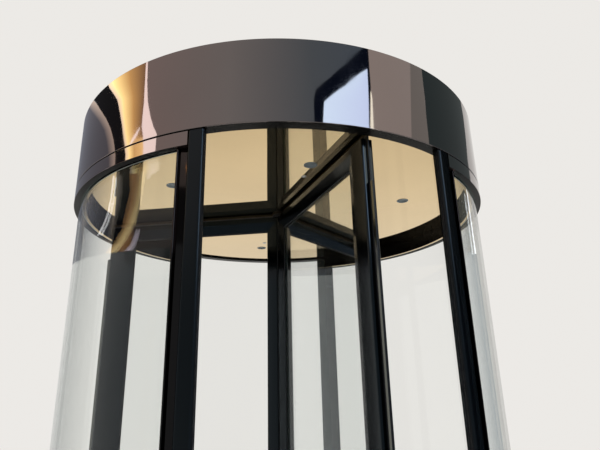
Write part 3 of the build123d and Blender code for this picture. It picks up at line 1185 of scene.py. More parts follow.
@dataclass
class Posts:
    """Rounded posts beside the entrances, their rubber strips and the profiles at the panes' ends."""

    round_radius: float = 10.0 * MM
    neck_round: float = 7.0 * MM
    reveal_depth: float = 6.0 * MM
    reveal_height: float = 6.5 * MM
    back_round: float = 1.0 * MM
    corner_round: float = 0.5 * MM
    plan_pitch: float = 8.0 * MM
    entrance_round: float = 16.0 * MM
    profile_lean: float = 10.0 * MM
    ridge_place: float = 45.0 * MM
    ridge_width: float = 7.0 * MM
    ridge_depth: float = 24.0 * MM
    ridge_inset: float = 10.0 * MM
    ridge_round: float = 2.0 * MM

    def build(self) -> None:
        """Builds the four posts with what stands beside them."""
        seals, profiles = Skin("post_seal_strips"), Skin("pane_end_profiles")
        ridges = Skin("end_profile_ridges")
        for place in ("front_left", "front_right", "rear_left", "rear_right"):
            post = Reach.of(f"post_{place}")
            towards_way_in = 1.0 if sin(post.middle) * cos(post.middle) > 0 else -1.0
            self.make_post(place, post, towards_way_in)
            self.add_seal(seals, post, towards_way_in)
            self.add_profile(profiles, post, -towards_way_in)
            self.add_ridge(ridges, post, -towards_way_in)
        seals.piece(Body.DRUM, [SEAL_RUBBER], Slot.SEAL, ["post_seals"])
        profiles.piece(Body.DRUM, [END_MIRROR], Slot.DRUM, ["end_profiles"])
        ridges.piece(Body.DRUM, [END_MIRROR], Slot.DRUM)

    def make_post(self, place: str, post: Reach, way: float) -> None:
        """Post: a plan with two large rounds outside and one inside, and a smaller neck on top of it.

        Args:
            place: The post's place in the plan.
            post: How far it reaches.
            way: 1 where its entrance side is towards larger angles, else -1.
        """
        half = (post.end - post.start) * post.outer / 2
        top = post.top - self.reveal_height
        neck = post.outer - self.reveal_depth
        skin = Skin(f"post_cover_{place}")
        for outer, low, high in ((post.outer, post.bottom, top), (neck, top, post.top)):
            corners = np.array(box_corners(-half, half, post.inner, outer))
            large = self.round_radius if outer == post.outer else self.neck_round
            radii = [self.back_round, self.entrance_round, large, large]
            plan = refined(rounded(corners * [way, 1.0], radii, 8), self.plan_pitch)
            skin.bar(bent_plan(plan, post.outer, post.middle, (low, high)))
        skin.piece(Body.DRUM, [POST_BLACK], Slot.DRUM, [f"post_{place}"])

    def add_seal(self, skin: Skin, post: Reach, way: float) -> None:
        """Rubber strip let into the post's entrance side: two soft ribs on its face.

        Args:
            skin: The skin that gathers the strips.
            post: How far the post reaches.
            way: 1 where its entrance side is towards larger angles, else -1.
        """
        size = Reach.of("post_seals", post.middle)
        face = (post.end - post.start) * post.outer / 2
        thickness = (size.end - size.start) * post.outer
        inner = post.inner + self.entrance_round * 0.8
        rib = (size.outer - inner) / 2
        back, root, tip = face - thickness, face + thickness * 0.15, face + thickness * 0.5
        corners = [[back, inner], [root, inner], [tip, inner + rib / 2], [root, inner + rib]]
        corners += [[tip, inner + rib * 1.5], [root, size.outer], [back, size.outer]]
        plan = rounded(np.array(corners) * [way, 1.0], self.corner_round, 3)
        skin.bar(bent_plan(plan, post.outer, post.middle, (size.bottom, size.top)))

    def add_ridge(self, skin: Skin, post: Reach, way: float) -> None:
        """Narrow ridge that stands up along the end profile where the pane meets it.

        Args:
            skin: The skin that gathers the ridges.
            post: How far the post beside it reaches.
            way: 1 where the pane is towards larger angles, else -1.
        """
        size = Reach.of("end_profiles", post.middle)
        middle = (post.end - post.start) * post.outer / 2 + self.ridge_place
        near, far = middle - self.ridge_width / 2, middle + self.ridge_width / 2
        outer = post.outer - self.ridge_inset
        corners = box_corners(near, far, outer - self.ridge_depth, outer)
        radii = [self.corner_round, self.corner_round, self.ridge_round, self.ridge_round]
        plan = rounded(np.array(corners) * [way, 1.0], radii, 4)
        skin.bar(bent_plan(plan, post.outer, post.middle, (size.bottom, size.top)))

    def add_profile(self, skin: Skin, post: Reach, way: float) -> None:
        """End profile between post and pane: its outer face leans back towards the post.

        Args:
            skin: The skin that gathers the profiles.
            post: How far the post beside it reaches.
            way: 1 where the pane is towards larger angles, else -1.
        """
        size = Reach.of("end_profiles", post.middle)
        start = (post.end - post.start) * post.outer / 2
        end = start + (size.end - size.start) * post.outer
        corners = [[start, size.inner], [end, size.inner], [end, size.outer]]
        corners += [[start, size.outer - self.profile_lean]]
        plan = refined(rounded(np.array(corners) * [way, 1.0], self.corner_round), self.plan_pitch)
        skin.bar(bent_plan(plan, post.outer, post.middle, (size.bottom, size.top)))


@dataclass
class Canopy:
    """Fascia, lip, ceiling, lights, sensors and roof."""

    fascia_thickness: float = 4.0 * MM
    fascia_seam: float = 1.0 * MM
    edge_round: float = 1.2 * MM
    back_round: float = 0.4 * MM
    steps: int = 360
    light_count: int = 6
    light_steps: int = 48
    light_rim: float = 4.0 * MM
    rim_slope: float = 0.4 * MM
    rim_rise: float = 0.3 * MM
    reflector_edge: float = 1.5 * MM
    lens_depth: float = 5.0 * MM
    lens_radius: float = 19.0 * MM
    lens_rise: float = 2.0 * MM
    sensor_steps: int = 36
    roof_screws: int = 24
    screw_radius: float = 5.0 * MM
    screw_inset: float = 22.0 * MM
    screw_steps: int = 16

    def build(self) -> None:
        """Builds the canopy from outside to inside."""
        self.make_fascia()
        self.make_lip()
        dress("soffit", SOFFIT_MIRROR)
        dress("roof", ROOF_COAT)
        dress("top_bearing", PLATE_STEEL)
        self.make_lights()
        self.make_sensors()
        self.make_screws()

    def make_fascia(self) -> None:
        """Fascia: an upright strip with rounded edges, turned in two halves that meet at the sides."""
        size = Reach.of("fascia")
        corners = box_corners(size.outer - self.fascia_thickness, size.outer, size.bottom, size.top)
        outline = rounded(corners, [self.back_round, self.edge_round, self.edge_round, self.back_round])
        gap = self.fascia_seam / size.outer / 2
        for name, start in (("rear", 0.0), ("front", pi)):
            skin = Skin(f"fascia_shell_{name}")
            skin.bar(turned(outline, np.linspace(start + gap, start + pi - gap, self.steps // 2 + 1)))
            skin.piece(Body.DRUM, [FASCIA_MIRROR], Slot.CANOPY, ["fascia"])

    def make_lip(self) -> None:
        """Lip: a flat black ring with a rounded inner edge under the ceiling's rim."""
        size = Reach.of("lip_ring")
        corners = box_corners(size.inner, size.outer, size.bottom, size.top)
        outline = rounded(corners, [self.edge_round] + [self.back_round] * 3)
        skin = Skin("ceiling_lip")
        skin.grid(turned(outline, around(self.steps)), loop=True)
        skin.piece(Body.DRUM, [RETURN_BLACK], Slot.CANOPY, ["lip_ring"])

    def make_lights(self) -> None:
        """Downlights: a rim, a sloped reflector and a shallow dome of lens, turned about each axis."""
        size = Reach.of("downlights")
        ceiling, face = Reach.of("soffit").bottom, size.bottom
        rim = (size.outer - size.inner) / 2
        can = rim - self.light_rim
        radius, lens = self.lens_radius, ceiling + self.lens_depth
        box = [[0.0, size.top], [can, size.top], [can, ceiling], [rim, ceiling]]
        trim = [[rim - self.rim_slope, face + self.rim_rise], [can, face], [can - self.reflector_edge, face]]
        dome = [[radius, lens], [radius * 0.7, lens - self.lens_rise * 0.6], [0.0, lens - self.lens_rise]]
        marks = np.repeat([1, 0, 2], [2, 5, 3])
        places = on_circle((size.outer + size.inner) / 2, pi / 2 + around(self.light_count))
        skin = Skin("ceiling_lights")
        skin.spun(np.array(box + trim + dome), self.light_steps, places, marks)
        skin.piece(Body.DRUM, [LAMP_RIM, PLATE_STEEL, LAMP_LENS], Slot.LIGHT, ["downlights"])

    def make_sensors(self) -> None:
        """Sensors: a flat rim round a low dome, turned about each axis."""
        size = Reach.of("sensors")
        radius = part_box("sensors")[1].x
        ceiling, face = size.top, size.bottom
        rim = [[0.0, ceiling], [radius, ceiling], [radius, face + 0.5 * MM], [radius * 0.9, face + 0.2 * MM]]
        dome = [[radius * 0.7, face + 0.5 * MM], [radius * 0.45, face + 0.1 * MM], [0.0, face]]
        marks = np.repeat([0, 1], [4, 3])
        places = on_circle((size.outer + size.inner) / 2, np.array([pi / 2, -pi / 2]))
        skin = Skin("ceiling_sensors")
        skin.spun(np.array(rim + dome), self.sensor_steps, places, marks)
        skin.piece(Body.DRUM, [TRIM_METAL, SENSOR_LENS], Slot.SENSOR, ["sensors"])

    def make_screws(self) -> None:
        """Pan heads in a ring near the roof's edge."""
        roof = Reach.of("roof")
        places = on_circle(roof.outer - self.screw_inset, around(self.roof_screws), roof.top)
        skin = Skin("roof_screws")
        skin.spun(screw_outline(self.screw_radius), self.screw_steps, places)
        skin.piece(Body.DRUM, [TRIM_METAL], Slot.ROOF)


# Rotor


@dataclass
class Leaf:
    """One leaf: four frame members that thin towards the glass, pane, gaskets and seals."""

    name: str
    bevel_width: float = 50.0 * MM
    bevel_edge: float = 20.0 * MM
    arris_round: float = 5.0 * MM
    arc_steps: int = 6
    corner_round: float = 1.0 * MM
    stile_round: float = 8.0 * MM
    mitre_gap: float = 0.3 * MM
    bead_width: float = 3.2 * MM
    bead_inset: float = 0.5 * MM
    bead_round: float = 0.3 * MM
    carrier_height: float = 3.0 * MM
    carrier_round: float = 0.5 * MM
    pile_thickness: float = 0.75
    pile_pitch: float = 4.0 * MM
    pile_rows: int = 4
    pile_swell: float = 0.2
    pile_ripple: float = 0.01
    ripple_pitches: float = 5.0 / 3.0
    pile_overlap: float = 7.2 * MM
    glass_half: float = 5.0 * MM
    seal_joint: float = 2.0 * MM
    seal_round: float = 0.6 * MM
    # Shares of the strip's width between which its flank takes the painted sheen.
    painted_sheen_flank: tuple[float, float] = (0.45, 0.95)
    plane: Upright = field(init=False)
    inner: Span = field(init=False)
    outer: Span = field(init=False)
    top: Span = field(init=False)
    bottom: Span = field(init=False)
    half: float = field(init=False)
    rail_flat: float = field(init=False)

    def __post_init__(self) -> None:
        """Measures the leaf's CAD nodes in the leaf's own plane."""
        stile = node_points(f"{self.name}_outer_stile")
        middle = stile.mean(0)
        self.plane = Upright(atan2(middle[1], middle[0]))
        self.inner = Span.of(f"{self.name}_inner_stile", self.plane)
        self.outer = Span.of(f"{self.name}_outer_stile", self.plane)
        self.top = Span.of(f"{self.name}_top_rail", self.plane)
        self.bottom = Span.of(f"{self.name}_bottom_rail", self.plane)
        self.half = self.plane.read(stile)[1].max()
        self.rail_flat = self.bottom.high - self.bottom.low - self.bevel_width

    def build(self) -> None:
        """Builds the leaf in its own plane."""
        self.make_stile("inner_stile", self.inner.near, 1.0, self.inner, self.corner_round)
        self.make_stile("outer_stile", self.outer.far, -1.0, self.outer, self.stile_round)
        self.make_rail("bottom_rail", self.bottom.low, 1.0)
        self.make_rail("top_rail", self.top.high, -1.0)
        self.make_pane()
        self.make_beads()
        self.make_edge_seal()
        self.make_brushes()

    def section(self, flat: float, corner: float) -> tuple[Array, Array]:
        """Member section: flat faces, then bevels to a thin edge.

        Args:
            flat: How wide the flat faces are.
            corner: The round of the two outside corners.

        Returns:
            Points (width from outside, across), and 1 for each stretch on an arris, else 0.
        """
        thin = self.bevel_edge / 2
        end = flat + self.bevel_width
        corners = [[end, thin], [flat, self.half], [0, self.half]]
        corners += [[width, -across] for width, across in reversed(corners)]
        half_radii = [self.corner_round, self.arris_round, corner]
        outline = rounded(corners, half_radii + half_radii[::-1], self.arc_steps)
        marks = np.zeros((len(corners), self.arc_steps + 3), int)
        # Arris stretches take the brighter finish that paints their highlight lines.
        marks[[1, 4], 1:-2] = 1
        return outline, marks.ravel()

    def make_stile(self, part: str, outside: float, way: float, size: Span, corner: float) -> None:
        """Stile: full height over its flat, and shorter by the width past it, which makes the mitres.

        Args:
            part: The last part of the CAD node's name.
            outside: Where its outside edge stands along the leaf.
            way: 1 where its width runs away from the axis, else -1.
            size: How far it reaches.
            corner: The round of its outside corners.
        """
        flat = size.far - size.near - self.bevel_width
        section, marks = self.section(flat, corner)
        width = section[:, 0]
        past = width - flat
        in_flat = past < -2.0 * HOLD
        cut = np.where(in_flat, 0.0, self.rail_flat + past + self.mitre_gap / 2)
        heights = np.stack([size.low + cut, size.high - cut])
        points = self.plane.place(outside + way * width[None], section[None, :, 1], heights)
        skin = Skin(f"{self.name}_{part}_cover")
        skin.bar(points, marks, 0, paired=True)
        skin.piece(Body.ROTOR, [LEAF_BLACK, PAINTED_ARRIS_HIGHLIGHT], Slot.LEAF, [f"{self.name}_{part}"])

    def make_rail(self, part: str, outside: float, way: float) -> None:
        """Rail: between the stiles' flats, and shorter by the width past its own flat.

        Args:
            part: The last part of the CAD node's name.
            outside: The height of its outside edge.
            way: 1 where its width runs upwards, else -1.
        """
        section, marks = self.section(self.rail_flat, self.corner_round)
        width = section[:, 0]
        past = np.maximum(width - self.rail_flat, -2.0 * HOLD) + self.mitre_gap / 2
        inner_edge = self.inner.far - self.bevel_width
        outer_edge = self.outer.near + self.bevel_width
        along = np.stack([inner_edge + past, outer_edge - past])
        points = self.plane.place(along, section[None, :, 1], outside + way * width[None])
        skin = Skin(f"{self.name}_{part}_cover")
        skin.bar(points, marks, 0, paired=True)
        skin.piece(Body.ROTOR, [LEAF_BLACK, PAINTED_ARRIS_HIGHLIGHT], Slot.LEAF, [f"{self.name}_{part}"])

    def opening(self) -> Array:
        """Corners (along, height) of the opening between the four members."""
        return np.array(box_corners(self.inner.far, self.outer.near, self.bottom.high, self.top.low))

    def make_pane(self) -> None:
        """Pane: a flat sheet that fills the opening."""
        corners = self.opening()
        across = np.array([[-self.glass_half], [self.glass_half]])
        skin = Skin(f"{self.name}_pane")
        skin.bar(self.plane.place(corners[None, :, 0], across, corners[None, :, 1]), mark=1, cap_mark=0)
        skin.piece(Body.ROTOR, [PANE, PANE_EDGE], Slot.GLASS, [f"{self.name}_glass"])

    def make_beads(self) -> None:
        """Rubber beads round the pane: from each corner of the opening the width runs inwards."""
        corners = self.opening()
        inwards = np.array([[1.0, 1.0], [-1.0, 1.0], [-1.0, -1.0], [1.0, -1.0]])
        lip = self.bevel_edge / 2 - self.bead_inset
        width, face = self.bead_width, self.glass_half
        shape = [[0.0, face], [width, face], [width * 0.75, lip * 0.85], [0.0, lip]]
        bead = rounded(shape, self.bead_round, 2)
        along = corners[:, None, 0] + inwards[:, None, 0] * bead[None, :, 0]
        height = corners[:, None, 1] + inwards[:, None, 1] * bead[None, :, 0]
        skin = Skin(f"{self.name}_pane_beads")
        for side in (1.0, -1.0):
            skin.grid(self.plane.place(along, side * bead[None, :, 1], height), loop=True)
        skin.piece(Body.ROTOR, [SEAL_RUBBER], Slot.SEAL)

    def make_edge_seal(self) -> None:
        """Free edge: a long strip and a short one above, with a notch and a grey flank on each face, where a
        sheen is painted.

        The notch is drawn in shares of a strip's width and thickness.
        """
        node = f"{self.name}_edge_seal"
        notch = np.array([[0.0, 1.0], [0.3, 0.95], [0.36, 0.7], [0.42, 0.88]])
        p = node_points(node)
        along, across = self.plane.read(p)
        low, high = p[:, 2].min(), p[:, 2].max()
        root, thick = self.outer.far, across.max()
        short = along[p[:, 2] > high - MM].max()
        split = p[along > short + MM][:, 2].max()
        tip = across[along > along.max() - 0.1 * MM].max()
        skin = Skin(f"{self.name}_edge_strips")
        for end, bottom, top in ((along.max(), low, split), (short, split + self.seal_joint, high)):
            width = end - root
            half = np.vstack([notch * [width, thick] + [root, 0.0], [[end, tip]]])
            corners = np.vstack([half, (half * [1.0, -1.0])[::-1]])
            plan = rounded(corners, min(self.seal_round, width * 0.02), 2)
            share = ((plan[:, 0] + np.roll(plan[:, 0], -1)) / 2 - root) / width
            # Stretches within the flank take the lighter finish that paints the sheen.
            marks = ((share > self.painted_sheen_flank[0]) & (share < self.painted_sheen_flank[1])).astype(int)
            heights = np.array([[bottom], [top]])
            skin.bar(self.plane.place(plan[None, :, 0], plan[None, :, 1], heights), marks, cap_mark=0)
        skin.piece(Body.ROTOR, [SEAL_RUBBER, STRIP_PAINTED_SHEEN], Slot.SEAL, [node])

    def make_brushes(self) -> None:
        """Brushes under and over the leaf: a carrier, and pile that swells and thins along it.

        Along the leaf the pile's thickness is 1 - s (1 - cos(2 pi x / pitch)) of its full
        value, with s for the swell. Its tips' height is 1 - r (1 - cos(2 pi x / pitch)) of
        the full one, with r for the ripple and a longer pitch.
        """
        node = f"{self.name}_rail_seals"
        p = node_points(node)
        along, across = self.plane.read(p)
        near, far, half = along.min(), along.max(), across.max()
        low, high = p[:, 2].min(), p[:, 2].max()
        rows = round((far - near) / self.pile_pitch * self.pile_rows)
        x = np.linspace(near, far, rows + 1)[:, None]
        long_pitch = self.pile_pitch * self.ripple_pitches
        swell = 1.0 - self.pile_swell * (1.0 - np.cos(tau * x / self.pile_pitch))
        ripple = 1.0 - self.pile_ripple * (1.0 - np.cos(tau * x / long_pitch))
        ends = np.array([[near], [far]])
        side = np.array([1.0, 0.85, 0.3, -0.3, -0.85, -1.0]) * half * self.pile_thickness
        reach = np.array([0.0, 0.6, 1.0, 1.0, 0.6, 0.0])
        skin = Skin(f"{self.name}_brushes")
        for root, tip in ((self.bottom.low, low), (self.top.high, high + self.pile_overlap)):
            base = root + np.sign(tip - root) * self.carrier_height
            box = rounded(box_corners(-half, half, root, base), self.carrier_round, 2)
            skin.bar(self.plane.place(ends, box[None, :, 0], box[None, :, 1]), mark=0)
            height = base + (tip - base) * np.where(reach < 1.0, reach, ripple)
            skin.bar(self.plane.place(x, side * swell, height), mark=1)
        skin.piece(Body.ROTOR, [BEAD_BLACK, PILE], Slot.SEAL, [node])


@dataclass
class Core:
    """The three-sided bar between the leaves, with a rubber bead in each corner gap."""

    bead_radius: float = 2.4 * MM
    bead_place: float = 29.0 * MM
    bead_steps: int = 12
    collar_radius: float = 44.0 * MM
    collar_hole: float = 22.0 * MM
    collar_gap: float = 0.4 * MM
    collar_round: float = 1.5 * MM
    collar_steps: int = 64

    def build(self) -> None:
        """Dresses the bar, and builds its collar and its beads."""
        dress("core", CORE_BLACK)
        stile = Reach.of(f"{LEAVES[0]}_inner_stile")
        self.make_collar(stile)
        self.make_beads(stile)

    def make_beads(self, stile: Reach) -> None:
        """Round beads halfway between neighbouring leaves, as high as a leaf.

        Args:
            stile: How far a leaf's inner stile reaches.
        """
        middle = node_points(f"{LEAVES[0]}_outer_stile").mean(0)
        turns = atan2(middle[1], middle[0]) + pi / len(LEAVES) + around(len(LEAVES))
        outline = np.array([[self.bead_radius, stile.bottom], [self.bead_radius, stile.top]])
        skin = Skin("core_beads")
        for place in on_circle(self.bead_place, turns):
            skin.bar(np.swapaxes(turned(outline, around(self.bead_steps), place), 0, 1))
        skin.piece(Body.ROTOR, [SEAL_RUBBER], Slot.SEAL)

    def make_collar(self, stile: Reach) -> None:
        """Rubber collar on the leaves' tops: a ring of (radius, height) turned about the axis.

        Args:
            stile: How far a leaf's inner stile reaches.
        """
        high = Reach.of("soffit").bottom - self.collar_gap
        corners = box_corners(self.collar_hole, self.collar_radius, stile.top, high)
        skin = Skin("core_collar")
        skin.grid(turned(rounded(corners, self.collar_round), around(self.collar_steps)), loop=True)
        skin.piece(Body.ROTOR, [SEAL_RUBBER], Slot.SEAL)


# Studio


@dataclass(frozen=True)
class Backdrop(Finish):
    """Pale floor: near the object it takes shadows, and far off it is the background's colour."""

    colour: Colour = (0.80, 0.79, 0.77)
    clear_from: float = 2.5
    clear_at: float = 7.0
    least_glow: float = 0.35

    def write(self, recipe: Recipe) -> None:
        """For rays that show it the glow grows with the distance from the axis.

        Args:
            recipe: The tree to write into.
        """
        x, y, _ = recipe.parts()
        far = recipe.math("SQRT", x * x + y * y).above(self.clear_from, self.clear_at)
        glow = recipe.seen() * (self.least_glow + (1.0 - self.least_glow) * far)
        matt = recipe.shader("ShaderNodeBsdfDiffuse", {"Color": self.colour})
        pale = recipe.shader("ShaderNodeEmission", {"Color": BACKGROUND})
        recipe.finish(recipe.mixed(glow, matt, pale))


@dataclass(frozen=True)
class Card(Finish):
    """Glow of a board that only shows in mirrors: one colour at its start, another at its end."""

    start_colour: Colour
    end_colour: Colour

    def write(self, recipe: Recipe) -> None:
        """Blends the two colours by the board's own share from start to end.

        Args:
            recipe: The tree to write into.
        """
        share = recipe.value("ShaderNodeAttribute", {"attribute_name": SHARE_NAME}, None, "Fac")
        colour = recipe.blend(share, self.start_colour, self.end_colour)
        recipe.finish(recipe.shader("ShaderNodeEmission", {"Color": colour}))


@dataclass(frozen=True)
class Board:
    """Upright board bent round the axis, whose two edges run from level to level.

    Each level is a height, the angle in degrees where the board starts there, and the
    angle where it ends.
    """

    name: str
    levels: tuple[Point, ...]
    start_colour: Colour
    end_colour: Colour | None = None
    distance: float = 6.0
    steps: int = 24

    def build(self) -> None:
        """Makes the sheet: a point is (d cos a, d sin a, z), with a between the level's two angles."""
        height, start, end = np.asarray(self.levels, float).T[:, :, None]
        share = np.linspace(0.0, 1.0, self.steps + 1)[None, :]
        a, d = np.radians(start + (end - start) * share), self.distance
        points = np.stack([d * np.cos(a), d * np.sin(a), height + 0 * a], axis=-1)
        index = np.arange(points.shape[0] * points.shape[1]).reshape(points.shape[:2])
        quads = np.stack([index[:-1, :-1], index[:-1, 1:], index[1:, 1:], index[1:, :-1]], axis=-1)
        mesh = bpy.data.meshes.new(self.name)
        mesh.from_pydata(points.reshape(-1, 3).tolist(), [], quads.reshape(-1, 4).tolist())
        shares = np.broadcast_to(share, points.shape[:2]).ravel().astype(np.float32)
        mesh.attributes.new(SHARE_NAME, "FLOAT", "POINT").data.foreach_set("value", shares)
        board = bpy.data.objects.new(self.name, mesh)
        bpy.context.scene.collection.objects.link(board)
        card = Card(f"{self.name}_glow", self.start_colour, self.end_colour or self.start_colour)
        mesh.materials.append(card.material())
        for ray in ("camera", "diffuse", "transmission", "volume_scatter", "shadow"):
            setattr(board, f"visible_{ray}", False)


def between(first: Curve, last: Curve, low: float, high: float) -> tuple[Point, ...]:
    """Levels of a board between two edges, which reaches a little over the second one.

    Args:
        first: The edge where it starts.
        last: The edge where it ends, with the next board behind it.
        low: The height of its lower end.
        high: The height of its upper end.

    Returns:
        Levels at its two ends and wherever one of the edges has a point between them.
    """
    heights = sorted({low, high} | {height for height, _ in first + last if low < height < high})
    starts = np.interp(heights, *zip(*first))
    ends = np.interp(heights, *zip(*last)) + OVERLAP_DEGREES
    return tuple(zip(heights, starts, ends))


@dataclass(frozen=True)
class Lamp:
    """Upright soft box that faces the axis from a distance. Its lamp shows in no mirror."""

    name: str
    azimuth_degrees: float
    width: float
    low: float
    high: float
    colour: Colour
    radiance: float
    distance: float = 5.5

    def build(self) -> None:
        """Makes an area lamp whose power is pi times radiance times area."""
        a = radians(self.azimuth_degrees)
        out = np.array([cos(a), sin(a), 0.0])
        side = np.array([-sin(a), cos(a), 0.0])
        rise = np.array([0.0, 0.0, 1.0])
        light = bpy.data.lights.new(self.name, "AREA")
        light.shape = "RECTANGLE"
        light.size, light.size_y = self.width, self.high - self.low
        light.energy = pi * self.radiance * light.size * light.size_y
        light.color = self.colour
        lamp = bpy.data.objects.new(self.name, light)
        bpy.context.scene.collection.objects.link(lamp)
        lamp.matrix_world = placed(side, rise, out, out * self.distance + rise * (self.low + self.high) / 2)
        lamp.visible_camera = False
        lamp.visible_glossy = False


def placed(x: Array, y: Array, z: Array, place: Array) -> Matrix:
    """Matrix of an object from its own axes.

    Args:
        x: Its X axis in the frame.
        y: Its Y axis.
        z: Its Z axis.
        place: Where its origin stands.

    Returns:
        The matrix, with these four as its columns.
    """
    rows = np.eye(4)
    rows[:3, 0], rows[:3, 1], rows[:3, 2], rows[:3, 3] = x, y, z, place
    return Matrix(rows.tolist())


LAMPS = (
    Lamp("window_lamp", -66.0, 2.9, 0.6, 5.0, (0.9, 0.95, 1.0), 3.2),
    Lamp("left_softbox", -150.0, 1.6, 1.0, 4.4, (1.0, 0.97, 0.92), 2.2),
    Lamp("rear_softbox", 75.0, 2.4, 0.8, 4.6, (1.0, 0.97, 0.93), 2.4),
    Lamp("rear_left_strip", 140.0, 0.8, 0.6, 4.6, (1.0, 0.98, 0.96), 3.0),
)

# Edges of the boards on the left, as heights and angles in degrees, from the start of the
# first board on. A name says which board starts there.
FAR_LEFT: Curve = ((5.25, 115.0), (5.44, 114.0), (5.64, 112.0), (5.88, 109.0), (6.11, 106.0), (6.3, 102.0))
BEIGE: Curve = (
    (4.62, 167.4), (4.9, 165.6), (5.1, 163.4), (5.25, 161.4), (5.44, 157.8), (5.64, 151.0), (5.88, 139.5),
    (6.11, 124.0), (6.3, 114.0), (6.9, 92.0),
)
DARK: Curve = (
    (4.62, 171.9), (4.9, 171.3), (5.06, 169.9), (5.21, 168.2), (5.41, 164.8), (5.62, 159.4), (5.77, 154.0),
    (5.9, 149.0), (6.2, 134.0), (6.9, 105.0),
)
CREAM: Curve = (
    (4.62, 179.6), (4.9, 178.8), (5.06, 177.6), (5.21, 176.1), (5.41, 174.2), (5.62, 171.8), (5.77, 169.9),
    (5.9, 168.1), (6.2, 158.5), (6.9, 139.0),
)
GOLD: Curve = (
    (4.62, 182.0), (4.9, 181.5), (5.06, 180.0), (5.21, 178.4), (5.41, 176.4), (5.62, 174.4), (5.77, 173.2),
    (5.9, 172.0), (6.2, 163.5), (6.9, 147.0),
)
BROWN: Curve = (
    (4.62, 185.5), (4.9, 185.2), (5.15, 184.0), (5.33, 182.8), (5.61, 181.6), (5.79, 181.0), (5.9, 180.4),
    (6.2, 177.0), (6.9, 170.0),
)
PALE: Curve = (
    (4.62, 190.6), (4.94, 190.4), (5.15, 189.7), (5.34, 188.3), (5.53, 188.2), (5.78, 188.4), (6.16, 187.9),
    (6.9, 187.0),
)
WARM: Curve = (
    (4.62, 197.8), (5.15, 197.8), (5.18, 198.0), (5.34, 195.3), (5.53, 193.0), (5.78, 190.8), (6.16, 189.3),
    (6.9, 188.1),
)
LOW_DARK: Curve = ((3.4, 169.0), (3.75, 170.0), (4.1, 172.8), (4.36, 173.8), (4.62, 172.6))
LOW_BROWN: Curve = ((3.4, 176.0), (3.75, 177.0), (4.1, 179.3), (4.36, 180.6), (4.62, 179.5))
LOW_WARM: Curve = ((4.1, 184.4), (4.36, 184.9), (4.62, 185.5))
COOL: Curve = ((4.62, 234.0),)

# Heights between which the boards on the left stand: the lower ones, and those that the band
# round the canopy mirrors, of which amber ends where brown begins.
LOW_PART, HIGH_PART = (3.4, 4.62), (4.62, 6.9)
AMBER_TOP = 5.15
# Distance of the boards that stand before others.
BEFORE = 5.95

